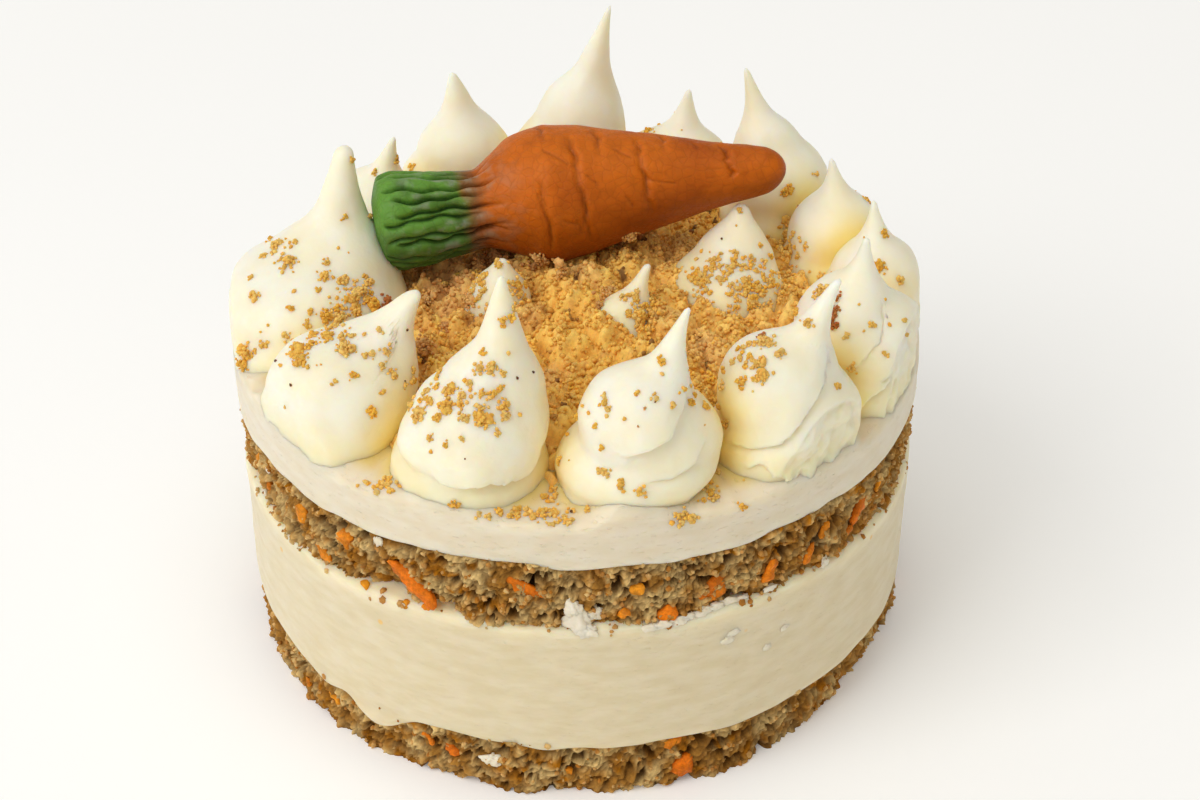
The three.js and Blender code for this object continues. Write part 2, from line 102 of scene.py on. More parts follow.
def lattice(x, y, z):
    """Repeatable scatter, 0 to 1, at whole-number points."""
    wave = np.sin(x * HASH_X + y * HASH_Y + z * HASH_Z) * HASH_SPREAD
    return wave - np.floor(wave)


def noise(points):
    """Smooth noise from -1 to 1, with features about one unit across."""
    corner = np.floor(points)
    ease = points - corner
    ease = ease * ease * (3 - 2 * ease)
    total = 0
    for step in itertools.product((0, 1), repeat=3):
        weight = np.prod(np.where(step, ease, 1 - ease), axis=-1)
        total = total + weight * lattice(*np.moveaxis(corner + step, -1, 0))
    return 2 * total - 1


def rough(points, size, seed, octaves=3):
    """Noise of several sizes, the largest of them size mm."""
    total = 0
    for octave in range(octaves):
        total = total + noise(points * 2**octave / size + seed + OCTAVE_STEP * octave) / 2**octave
    return total


def scattered_cells(points, size, seed):
    """Distance in mm to the nearest and next nearest of scattered points, one to a cube of size mm, and a
    number from 0 to 1 that belongs to the nearest."""
    place = points / size + seed
    home = np.floor(place)
    nearest = np.full(place.shape[:-1], FAR)
    second = nearest.copy()
    tag = np.zeros_like(nearest)
    for step in itertools.product((-1, 0, 1), repeat=3):
        cell = np.moveaxis(home + step, -1, 0)
        jitter = [lattice(cell[0], cell[1] + 31 * axis, cell[2]) for axis in range(3)]
        centre = np.stack([cell[axis] + jitter[axis] for axis in range(3)], -1)
        distance = np.linalg.norm(centre - place, axis=-1)
        closer = distance < nearest
        second = np.where(closer, nearest, np.minimum(second, distance))
        tag = np.where(closer, lattice(cell[0] + 57, cell[1], cell[2]), tag)
        nearest = np.minimum(nearest, distance)
    return nearest * size, second * size, tag


def pebbles(points, size, seed):
    """Rounded lumps with sharp creases between them, 0 to 1."""
    nearest, second, _ = scattered_cells(points, size, seed)
    return np.sqrt(np.clip((second - nearest) / (0.6 * size), 0, 1))


def smooth_step(value, low, high):
    """0 below low, 1 above high, and an easy slope between."""
    share = np.clip((value - low) / (high - low), 0, 1)
    return share * share * (3 - 2 * share)


def bell(value, width):
    """1 at 0, falling away to both sides over a width."""
    return np.exp(-((value / width) ** 2))


def angle_off(angle, middle_degrees):
    """Signed angle in radians from a direction given in degrees."""
    off = angle - math.radians(middle_degrees)
    return np.arctan2(np.sin(off), np.cos(off))


def bell_at(angle, middle_degrees, width_degrees):
    """1 in one direction from the middle of the cake, falling away to both sides."""
    return bell(angle_off(angle, middle_degrees), math.radians(width_degrees))


def blotches(points, size, seed, low, high, lift=0):
    """0 to 1 in soft-edged patches of about size mm, more of them where there is a lift."""
    return smooth_step(rough(points, size, seed) + lift, low, high)


def rounded(share):
    """Height of a quarter circle over a share of its width, both 0 to 1."""
    share = np.clip(share, 0, 1)
    return np.sqrt(share * (2 - share))


def running_total(steps):
    return np.concatenate([[0], np.cumsum(steps)])


def evenly_spaced(line, samples):
    """A line of points, given again at evenly spaced lengths."""
    travelled = running_total(np.linalg.norm(np.diff(line, axis=0), axis=1))
    places = np.linspace(0, travelled[-1], samples)
    return np.stack([np.interp(places, travelled, values) for values in line.T], -1)


# ------------------------------------------------------------------ meshes
# Where rays start that come in from the side, in mm from the middle.
OUTSIDE = 60


def ring_faces(rows, columns):
    """Triangles of rings of points, ring after ring, each ring closed."""
    row, column = np.meshgrid(np.arange(rows - 1), np.arange(columns), indexing="ij")
    following = (column + 1) % columns
    a = row * columns + column
    b = row * columns + following
    quads = np.stack([a, b, b + columns, a + columns], -1).reshape(-1, 4)
    return np.concatenate([quads[:, [0, 1, 2]], quads[:, [0, 2, 3]]])


def loft(rings, first=None, last=None):
    """A closed skin over rings (rows, columns, 3), anticlockwise seen from the last end. It ends in the middle
    of the first and the last ring, unless other points are given."""
    first = rings[0].mean(0) if first is None else first
    last = rings[-1].mean(0) if last is None else last
    rows, columns, _ = rings.shape
    points = np.concatenate([rings.reshape(-1, 3), [first], [last]])
    around = np.arange(columns)
    following = (around + 1) % columns
    end = (rows - 1) * columns
    opening = np.stack([np.full(columns, rows * columns), following, around], -1)
    closing = np.stack([np.full(columns, rows * columns + 1), end + around, end + following], -1)
    return points, np.concatenate([ring_faces(rows, columns), opening, closing])


def add_piece(name, points, faces, material, slot, replaced=(), tint=None):
    """A visible piece from points in mm. tint is a colour for each point, 0 to 1, linear. Gives the points and
    faces back, to send rays at."""
    mesh = bpy.data.meshes.new(name)
    mesh.from_pydata((points * MM).tolist(), [], faces.tolist())
    mesh.polygons.foreach_set("use_smooth", np.ones(len(faces), bool))
    if tint is not None:
        colours = mesh.color_attributes.new("tint", "FLOAT_COLOR", "POINT")
        colours.data.foreach_set("color", np.c_[tint, np.ones(len(tint))].ravel())
    mesh.materials.append(material)
    piece = bpy.data.objects.new(name, mesh)
    bpy.context.scene.collection.objects.link(piece)
    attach(piece, "root")
    if replaced:
        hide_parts(*replaced)
    return points, faces


def joined(parts):
    """One (points, faces, tint) from many."""
    starts = running_total([len(points) for points, _, _ in parts])
    points = np.concatenate([part[0] for part in parts])
    faces = np.concatenate([part[1] + start for part, start in zip(parts, starts)])
    tint = np.concatenate([part[2] for part in parts])
    return points, faces, tint


def tree_of(meshes):
    """One tree to send rays at, from (points, faces) in mm."""
    starts = running_total([len(points) for points, _ in meshes])
    points = np.concatenate([points for points, _ in meshes])
    faces = np.concatenate([faces + start for (_, faces), start in zip(meshes, starts)])
    return BVHTree.FromPolygons(points.tolist(), faces.tolist(), all_triangles=True)


def nearest_hit(tree, origin, direction):
    """Where a ray meets the cake, in mm, and the surface's direction there."""
    place, normal, _, _ = tree.ray_cast(Vector(origin), Vector(direction))
    if place is None:
        return None, None
    normal = np.array(normal)
    return np.array(place), normal * -np.sign(normal @ direction)


def hit_at_pixel(tree, x, y):
    """What the picture's camera meets at a pixel."""
    return nearest_hit(tree, CAMERA_PLACE, pixel_direction(x, y))


def hit_from_outside(tree, angle, height):
    """What a level ray meets that comes in from the side, towards the middle of the cake."""
    origin = (OUTSIDE * math.cos(angle), OUTSIDE * math.sin(angle), height)
    return nearest_hit(tree, origin, (-math.cos(angle), -math.sin(angle), 0))


# ------------------------------------------------------------------ colours and materials
def colour(red, green, blue):
    """Linear colour of a screen colour given 0 to 255."""
    screen = np.array([red, green, blue]) / 255
    return np.where(screen <= 0.04045, screen / 12.92, ((screen + 0.055) / 1.055) ** 2.4)


def mixed(one, other, share):
    """From one colour, at a share of 0, to the other, at 1."""
    share = np.asarray(share)[..., None]
    return one * (1 - share) + other * share


class Look:
    """A node material being wired up, with its Principled shader."""

    def __init__(self, name, **settings):
        self.material = bpy.data.materials.new(name)
        self.material.use_nodes = True
        self.tree = self.material.node_tree
        self.shader = self.tree.nodes["Principled BSDF"]
        for socket, value in settings.items():
            self.shader.inputs[socket.replace("_", " ")].default_value = value
        self.place = self.add("TexCoord").outputs["Object"]

    def add(self, kind, inputs=(), **settings):
        """A node. Values that are sockets are linked, others are set."""
        node = self.tree.nodes.new("ShaderNode" + kind)
        for name, value in settings.items():
            setattr(node, name, value)
        for name, value in dict(inputs).items():
            if isinstance(value, bpy.types.NodeSocket):
                self.tree.links.new(value, node.inputs[name])
            else:
                node.inputs[name].default_value = value
        return node

    def noise(self, size_mm, detail=3.0, place=None):
        inputs = {"Vector": place or self.place, "Scale": 1 / (size_mm * MM), "Detail": detail}
        return self.add("TexNoise", inputs).outputs["Fac"]

    def mottled(self, size_mm, low=0.0, high=1.0, detail=3.0, spread=0.2):
        """Noise from low to high. spread is how far it runs from its middle before it is cut off."""
        return self.ranged(self.noise(size_mm, detail), 0.5 - spread, 0.5 + spread, low, high)

    def cells(self, size_mm, place=None, **settings):
        inputs = {"Vector": place or self.place, "Scale": 1 / (size_mm * MM)}
        return self.add("TexVoronoi", inputs, **settings).outputs["Distance"]

    def ripple(self, size_mm, reach_mm):
        """A wandering offset, for lines that aren't straight."""
        inputs = {"Vector": self.place, "Scale": 1 / (size_mm * MM), "Detail": 2.0}
        wander = self.add("TexNoise", inputs).outputs["Color"]
        reach = (reach_mm * MM,) * 3
        return self.add("VectorMath", {0: wander, 1: reach}, operation="MULTIPLY").outputs[0]

    def stretched(self, scale):
        inputs = {"Vector": self.place, "Scale": scale}
        return self.add("Mapping", inputs).outputs["Vector"]

    def ranged(self, value, low, high, to_low=0.0, to_high=1.0):
        inputs = {"Value": value, "From Min": low, "From Max": high, "To Min": to_low, "To Max": to_high}
        return self.add("MapRange", inputs, clamp=True).outputs["Result"]

    def blend(self, share, one, other, kind="MIX"):
        node = self.add("Mix", data_type="RGBA", blend_type=kind)
        for socket, value in zip((node.inputs[0], node.inputs[6], node.inputs[7]), (share, one, other)):
            if isinstance(value, bpy.types.NodeSocket):
                self.tree.links.new(value, socket)
            elif isinstance(value, float):
                socket.default_value = value
            else:
                socket.default_value = (*value, 1)
        return node.outputs[2]

    def multiplied(self, one, other):
        return self.blend(1.0, one, other, "MULTIPLY")

    def tint(self):
        """The colour that each point of a piece carries."""
        return self.add("Attribute", attribute_name="tint").outputs["Color"]

    def finish(self, base, bump=None, depth_mm=0.1, roughness=None):
        self.tree.links.new(base, self.shader.inputs["Base Color"])
        if roughness is not None:
            self.tree.links.new(roughness, self.shader.inputs["Roughness"])
        if bump is not None:
            node = self.add("Bump", {"Height": bump, "Distance": depth_mm * MM, "Strength": 1.0})
            self.tree.links.new(node.outputs["Normal"], self.shader.inputs["Normal"])
        return self.material


CREAM_WHITE = colour(251, 243, 226)
CREAM_YELLOW = colour(249, 237, 208)
# Painted yellow glow, for light that has passed through cream.
PAINTED_GLOW_YELLOW = colour(255, 237, 164)
FILLING_WHITE = colour(229, 216, 185)
FILLING_YELLOW = colour(222, 207, 170)
TOP_WHITE = colour(233, 223, 201)
TOP_YELLOW = colour(228, 215, 188)
SMEAR_WHITE = colour(238, 229, 210)
SMEAR_YELLOW = colour(234, 222, 194)
STRAY_SPECK = colour(236, 196, 120)
# How far red, green and blue light get through each material, against the red.
CREAM_SCATTER = (1.0, 0.76, 0.46)
SPONGE_SCATTER = (1.0, 0.65, 0.35)
CRUMB_SCATTER = (1.0, 0.55, 0.2)
MARZIPAN_SCATTER = (1.0, 0.35, 0.1)
SHRED_SCATTER = (1.0, 0.5, 0.15)
CREAM_IOR = 1.42
STARCH_IOR = 1.4
SHRED_IOR = 1.38
# Distances in mm between stray specks in the filling, and between wrinkles of the marzipan.
SPECK_SPACING = 6.4
WRINKLE_SPACING = 1.15


def scattering(weight, radius, depth_mm):
    """Settings for light that goes a little way into a material and comes out again."""
    return {"Subsurface_Weight": weight, "Subsurface_Radius": radius, "Subsurface_Scale": depth_mm * MM}


def piped_cream_look():
    look = Look("piped_cream", **scattering(0.9, CREAM_SCATTER, 1.8), Roughness=0.45, IOR=CREAM_IOR)
    base = look.blend(look.mottled(5.0, spread=0.15), CREAM_WHITE, CREAM_YELLOW)
    base = look.multiplied(base, look.tint())
    bump = look.blend(0.3, look.noise(1.6, 2.0), look.noise(0.45, 3.0))
    return look.finish(base, bump, 0.08, look.mottled(3.0, 0.38, 0.52))


def smooth_cream_look(name, light, deep, pitted, specks):
    """Cream pressed against the mould: faint drag marks along the side, small pits, and stray specks. pitted
    is the share that the pits have in the bump."""
    look = Look(name, **scattering(0.85, CREAM_SCATTER, 1.8), Roughness=0.45, IOR=CREAM_IOR)
    dragged = look.stretched((1.0, 1.0, 3.2))
    pits = look.ranged(look.noise(0.9, 3.0, dragged), 0.26, 0.38)
    waves = look.noise(2.6, 3.0, dragged)
    base = look.blend(look.ranged(look.noise(4.0, 3.0, dragged), 0.35, 0.65), light, deep)
    base = look.multiplied(base, look.tint())
    if specks:
        base = look.blend(look.ranged(look.cells(SPECK_SPACING), 0.04, 0.07, 1.0, 0.0), base, STRAY_SPECK)
    bump = look.blend(pitted, waves, pits)
    return look.finish(base, bump, 0.17, look.mottled(2.0, 0.38, 0.55))


def smear_look():
    look = Look("cream_smear", **scattering(0.3, CREAM_SCATTER, 0.4), Roughness=0.5, IOR=CREAM_IOR)
    base = look.blend(look.mottled(1.5), SMEAR_WHITE, SMEAR_YELLOW)
    return look.finish(base, look.noise(0.4, 3.0), 0.1)


def sponge_look():
    look = Look("carrot_sponge", **scattering(0.15, SPONGE_SCATTER, 0.4), Roughness=0.7, IOR=STARCH_IOR,
                Specular_IOR_Level=0.15)
    base = look.multiplied(look.tint(), look.mottled(0.35, 0.85, 1.15))
    return look.finish(base, look.noise(0.22, 4.0), 0.08, look.mottled(0.9, 0.55, 0.9))


def crumb_look(name, scatter, depth_mm):
    look = Look(name, **scattering(scatter, CRUMB_SCATTER, depth_mm), Roughness=0.7, IOR=STARCH_IOR)
    base = look.multiplied(look.tint(), look.mottled(0.28, 0.88, 1.1))
    return look.finish(base, look.noise(0.16, 4.0), 0.07, look.mottled(0.5, 0.5, 0.9))


def marzipan_look():
    """Marzipan with a net of fine wrinkles, with painted shade in them."""
    look = Look("marzipan", **scattering(0.2, MARZIPAN_SCATTER, 1.0), Roughness=0.5, IOR=STARCH_IOR,
                Specular_IOR_Level=0.28)
    base = look.multiplied(look.tint(), look.mottled(1.3, 0.9, 1.1, detail=5.0))
    warped = look.add("VectorMath", {0: look.place, 1: look.ripple(1.2, 0.5)}, operation="ADD").outputs[0]
    from_wrinkle = look.cells(WRINKLE_SPACING, warped, feature="DISTANCE_TO_EDGE")
    # Painted shade in the wrinkles.
    base = look.multiplied(base, look.ranged(from_wrinkle, 0.0, 0.09, 0.89, 1.0))
    bump = look.blend(0.65, look.ranged(from_wrinkle, 0.0, 0.1), look.noise(0.35, 4.0))
    return look.finish(base, bump, 0.06, look.mottled(0.25, 0.4, 0.6, detail=2.0, spread=0.15))


def shred_look():
    look = Look("carrot_shred", **scattering(0.2, SHRED_SCATTER, 0.6), Roughness=0.6, IOR=SHRED_IOR,
                Specular_IOR_Level=0.25)
    base = look.multiplied(look.tint(), look.mottled(0.4, 0.75, 1.2, detail=4.0))
    return look.finish(base, look.noise(0.3, 3.0), 0.12)


# ------------------------------------------------------------------ the layers
def side_surface(levels, columns):
    """Angles and heights over the side of a layer, as grids (rows, columns)."""
    angle = np.linspace(0, 2 * math.pi, columns, endpoint=False)
    return np.meshgrid(angle, levels)


def on_side(angle, reach, height):
    return np.stack([reach * np.cos(angle), reach * np.sin(angle), height], -1)


# The sides as the CAD solids have them. crag: depth of the coarse lumps. wobble: slow unevenness. swells: angle,
# width and rise. The scene adds notches in the lower edge, as angle, width, height and depth, and hangs, where
# bits hang over the layer below, as angle and width. Angles and widths are in degrees, the rest is in mm.
BASE_SPONGE = {
    "bottom": 0.0, "top": BASE_TOP, "radius": 39.3, "crag": 0.7, "wobble": 0.3, "seed": 3.1,
    "swells": ((-36, 17, -1.5), (-62, 8, 0.3), (-98, 5, 0.7), (150, 20, -0.8), (60, 14, -0.6)),
    "columns": 1000, "rows": 30, "notches": (), "hangs": (),
}
UPPER_SPONGE = {
    "bottom": FILLING_TOP, "top": SPONGE_TOP, "radius": 39.4, "crag": 0.6, "wobble": 0.25, "seed": 8.4,
    "swells": ((-110, 9, 0.4), (20, 12, -0.5), (120, 14, 0.4)),
    "columns": 1480, "rows": 52,
    "notches": ((-121, 3.2, 2.2, 2.4), (-110.5, 2.4, 1.7, 2.2), (-67, 2.2, 1.0, 1.0)),
    "hangs": ((-115.6, 2.4), (-103, 3), (-52, 3)),
}
# How far a sponge reaches up under the cream above, and out over the layer below.
SPONGE_TUCK = 0.5
SPONGE_OVERHANG = 0.9
# Size and height of the three kinds of lump, and how high up a lump counts as level.
LUMP = (1.9, 0.65)
GRAIN = (0.85, 0.5)
FINE = (0.42, 0.25)
LEVEL = 0.6
PORE_CELL = 2.0
PORE_DEPTH = 1.6
SMALL_PORE_CELL = 1.1
SMALL_PORE_DEPTH = 1.0
SPONGE_LIGHT = colour(234, 198, 130)
SPONGE_BROWN = colour(186, 132, 56)
SPONGE_OLIVE = colour(186, 118, 16)
# Painted shade for the low places between lumps and for the pores.
PAINTED_SPONGE_SHADE = colour(72, 40, 6)
SPONGE_GRAIN = colour(234, 200, 134)


def coarse_side(sponge, angle, height):
    """Radius of the side of a sponge: the CAD solid's unevenness, with notches cut into the lower edge."""
    x = np.cos(angle)
    y = np.sin(angle)
    seed = sponge["seed"]
    slow = noise(np.stack([x * 2.2 + seed, y * 2.2, np.full_like(x, seed)], -1)) * sponge["wobble"]
    for middle, width, rise in sponge["swells"]:
        slow = slow + rise * bell_at(angle, middle, width)
    for middle, width, tall, deep in sponge["notches"]:
        low = 1 - smooth_step(height - sponge["bottom"], 0.7 * tall, 1.3 * tall)
        slow = slow - deep * low * bell_at(angle, middle, width) ** 0.5
    lumps = noise(np.stack([x * 13, y * 13, height * 0.45 + seed], -1)) * sponge["crag"]
    return np.minimum(sponge["radius"] + slow + lumps, WALL)


def open_crumb(points, seed):
    """Torn sponge: relief in mm, colour, and how far each point is up on a lump, 0 to 1. There are three sizes
    of lump, and pores of mixed sizes. The colour carries painted shade low between the lumps and in the pores."""
    warp = 0.4 * np.stack([rough(points, 1.6, seed + k, 2) for k in (1, 2, 3)], -1)
    lump = pebbles(points + warp, LUMP[0], seed)
    grain = pebbles(points + 0.5 * warp, GRAIN[0], seed + 3)
    fine = pebbles(points, FINE[0], seed + 6)
    nearest, _, tag = scattered_cells(points * (1, 1, 1.35) + 1.6 * warp, PORE_CELL, seed + 9)
    pore_radius = 0.2 + 1.1 * tag**2
    pore = smooth_step(pore_radius - nearest, 0, 0.4)
    nearest, _, tag = scattered_cells(points + 1.2 * warp, SMALL_PORE_CELL, seed + 21)
    small_pore = smooth_step(0.1 + 0.38 * tag - nearest, 0, 0.18)
    relief = LUMP[1] * (lump - LEVEL) + GRAIN[1] * (grain - LEVEL) + FINE[1] * (fine - LEVEL)
    relief = relief - np.maximum(PORE_DEPTH * pore, SMALL_PORE_DEPTH * small_pore)
    shade = np.clip(0.55 * lump + 0.55 * grain + 0.3 * fine - 0.5, 0, 1)
    tint = mixed(SPONGE_BROWN, SPONGE_LIGHT, blotches(points, 2.2, seed + 12, -0.5, 0.5))
    tint = mixed(tint, SPONGE_OLIVE, blotches(points, 1.7, seed + 15, 0.2, 0.8))
    # Painted shade: darker low between the lumps, and darker still in the pores.
    tint = mixed(PAINTED_SPONGE_SHADE, tint, np.clip(0.34 + shade, 0, 1))
    tint = mixed(tint, PAINTED_SPONGE_SHADE, 0.9 * np.maximum(pore, small_pore))
    return relief, tint, shade * (1 - pore) * (1 - small_pore)


def add_sponge(name, sponge, replaced, material):
    """A layer of sponge, and the places on it where loose grains sit. Its rows reach a little under the cream
    above and out over the layer below."""
    bottom = sponge["bottom"]
    over = SPONGE_OVERHANG if bottom > 0 else 0.0
    levels = np.linspace(bottom - over, sponge["top"] + SPONGE_TUCK, sponge["rows"])
    angle, height = side_surface(levels, sponge["columns"])
    plain = on_side(angle, sponge["radius"], height)
    relief, tint, high = open_crumb(plain, sponge["seed"])
    reach = coarse_side(sponge, angle, height) + relief
    shift = 0.28 * np.stack([noise(plain / 1.1 + 40), noise(plain / 1.1 + 80)], -1)
    hang = blotches(plain, 3.4, 61, -0.1, 0.35)
    for middle, width in sponge["hangs"]:
        hang = np.maximum(hang, bell_at(angle, middle, width))
    below = bottom - height
    reach = np.where(below > 0, np.minimum(reach, WALL - 0.6 + 1.3 * hang - 0.8 * below), reach)
    inside = smooth_step(height, bottom, bottom + 0.6)
    height = np.maximum(height + shift[..., 1] * inside, bottom - over)
    rings = on_side(angle + shift[..., 0] / sponge["radius"], reach, height)
    tint = np.concatenate([tint.reshape(-1, 3), [SPONGE_BROWN, SPONGE_BROWN]])
    skin = add_piece(name, *loft(rings), material, "carrot_sponge", replaced, tint)
    perches = rings[(high > 0.42) & (height > bottom + 0.2) & (height < sponge["top"] - 0.2)]
    return skin, perches


# Where the filling was pressed down over the base sponge: angle, width in degrees, drop in mm.
FILLING_SPILLS = ((-124, 4.5, 2.6), (-136, 7, 1.1), (-96, 6, 0.5), (-60, 8, 0.4), (75, 9, 1.4), (10, 6, 0.8))
FILLING_ROWS = 36
FILLING_COLUMNS = 420
FILLING_INSET = 0.08
# How far spilled cream bulges out, and how high and deep the rounded edges of the filling are.
SPILL_BULGE = 0.4
EDGE_HEIGHT = 0.8
EDGE_DEPTH = 0.7
# The painted highlight in a band along the filling's top edge, under the upper sponge: how much brighter, and
# how far down in mm.
EDGE_HIGHLIGHT_LIFT = 0.22
EDGE_HIGHLIGHT_REACH = 1.6
# Where the top cream is drawn up at its rim: angle, width in degrees, rise in mm, inner reach in mm.
TOP_SMEARS = ((-81.5, 5.0, 1.5, 34.0), (-153, 11, 1.9, 33.0))
TOP_COLUMNS = 560
# Rows of the underside (their radii), the side, the rounded rim and the top, which ends at its inner radius.
TOP_UNDERSIDE = [30.0, 38.6]
TOP_SIDE_ROWS = 14
TOP_RIM_ROWS = 6
TOP_FLAT_ROWS = 23
TOP_INNER = 20
RIM = 0.9
# How high the top rises to meet the feet of the kisses, and from how far off.
FOOT_FILLET = 0.6
FILLET_REACH = 1.0


def add_filling(material):
    """The cream between the sponges, spilled over the lower one, with a painted highlight in a band under the
    upper one.
    """
    angle, share = side_surface(np.linspace(0, 1, FILLING_ROWS), FILLING_COLUMNS)
    plain = on_side(angle, WALL, BASE_TOP + share * (FILLING_TOP - BASE_TOP))
    low = BASE_TOP + 0.25 * noise(plain * (0.3, 0.3, 0) + 3)
    for middle, width, drop in FILLING_SPILLS:
        low = low - drop * bell_at(angle, middle, width)
    high = FILLING_TOP + 0.35 * noise(plain * (0.28, 0.28, 0) + 11) + 0.15 * noise(plain * (0.9, 0.9, 0) + 5)
    height = low + share * (high - low)
    reach = WALL - FILLING_INSET + 0.1 * noise(plain * (0.12, 0.12, 0.3) + 2)
    reach = reach + 0.05 * noise(plain * (0.5, 0.5, 1.2) + 7)
    reach = reach + SPILL_BULGE * np.clip(BASE_TOP - height, 0, 1)
    edge = np.minimum(height - low, high - height)
    reach = reach - EDGE_DEPTH * (1 - rounded(edge / EDGE_HEIGHT))
    from_top = np.concatenate([(high - height).ravel(), [FAR, 0]])
    # Painted highlight: the colour is lighter in a band just under the top edge.
    tint = np.repeat((1 + EDGE_HIGHLIGHT_LIFT * bell(from_top, EDGE_HIGHLIGHT_REACH))[:, None], 3, 1)
    rings = on_side(angle, reach, height)
    return add_piece("filling_cream", *loft(rings), material, "cream_filling", ["cream_filling"], tint)


def add_top_cream(material):
    """Underside, side, rounded rim and top of the upper cream. Its lower edge waves over the sponge, and its
    top rises to meet the kisses."""
    side = np.linspace(0, 1, TOP_SIDE_ROWS)
    turn = np.linspace(0, math.pi / 2, TOP_RIM_ROWS + 1)[1:]
    inward = np.linspace(WALL - RIM, TOP_INNER, TOP_FLAT_ROWS + 1)[1:]
    rim_reach = WALL - RIM + RIM * np.cos(turn)
    rim_lift = -RIM + RIM * np.sin(turn)
    reaches = np.concatenate([TOP_UNDERSIDE, np.full(TOP_SIDE_ROWS, WALL), rim_reach, inward])
    shares = np.concatenate([[0.0, 0.0], side, np.ones(TOP_RIM_ROWS + TOP_FLAT_ROWS)])
    lifts = np.concatenate([np.full(TOP_SIDE_ROWS + 2, -RIM), rim_lift, np.zeros(TOP_FLAT_ROWS)])
    angle, share = side_surface(shares, TOP_COLUMNS)
    reach = np.broadcast_to(reaches[:, None], angle.shape)
    lift = np.broadcast_to(lifts[:, None], angle.shape)
    round_trip = on_side(angle, WALL, np.zeros_like(angle))
    low = SPONGE_TOP + 0.4 * noise(round_trip / 5.5 + 4) + 0.18 * noise(round_trip / 2.1 + 9)
    wavy = 0.3 * noise(round_trip / 3.4 + 12) + 0.12 * noise(round_trip / 1.3 + 15)
    height = low + share * (CREAM_TOP + lift + wavy - low)
    plain = on_side(angle, reach, height)
    on_top = smooth_step(reach, WALL - 0.6, WALL - 2.5)
    uneven = 0.1 * noise(plain * (0.14, 0.14, 0.4) + 1) + 0.05 * noise(plain * (0.6, 0.6, 1.5) + 6)
    tuck = 0.45 * (1 - smooth_step(height - low, 0, 0.5))
    reach = reach + (uneven - tuck) * (1 - on_top)
    height = height + on_top * (0.3 * noise(plain / 6 + 8) + 0.12 * noise(plain / 2 + 3))
    for middle, width, rise, inner_reach in TOP_SMEARS:
        smear = bell_at(angle, middle, width)
        smear = smear * smooth_step(reach, inner_reach, 38) * (share == 1)
        height = height + rise * smear * (1 + 0.4 * noise(plain / 1.6 + 2))
    gap = gap_to_kisses(on_side(angle, reach, height).reshape(-1, 3)).reshape(angle.shape)
    height = height + FOOT_FILLET * bell(np.maximum(gap, 0), FILLET_REACH) * (share == 1)
    points, faces = loft(on_side(angle, reach, height))
    # Painted yellow glow on the top near the kisses, away from the rim.
    inner = smooth_step(np.hypot(points[:, 0], points[:, 1]), WALL - 1.2, WALL - 3.5)
    tint = mixed(np.ones(3), painted_cream_glow(points, "", TOP_GLOW_REACH), inner)
    return add_piece("upper_cream", points, faces, material, "top_cream", ["top_cream"], tint)


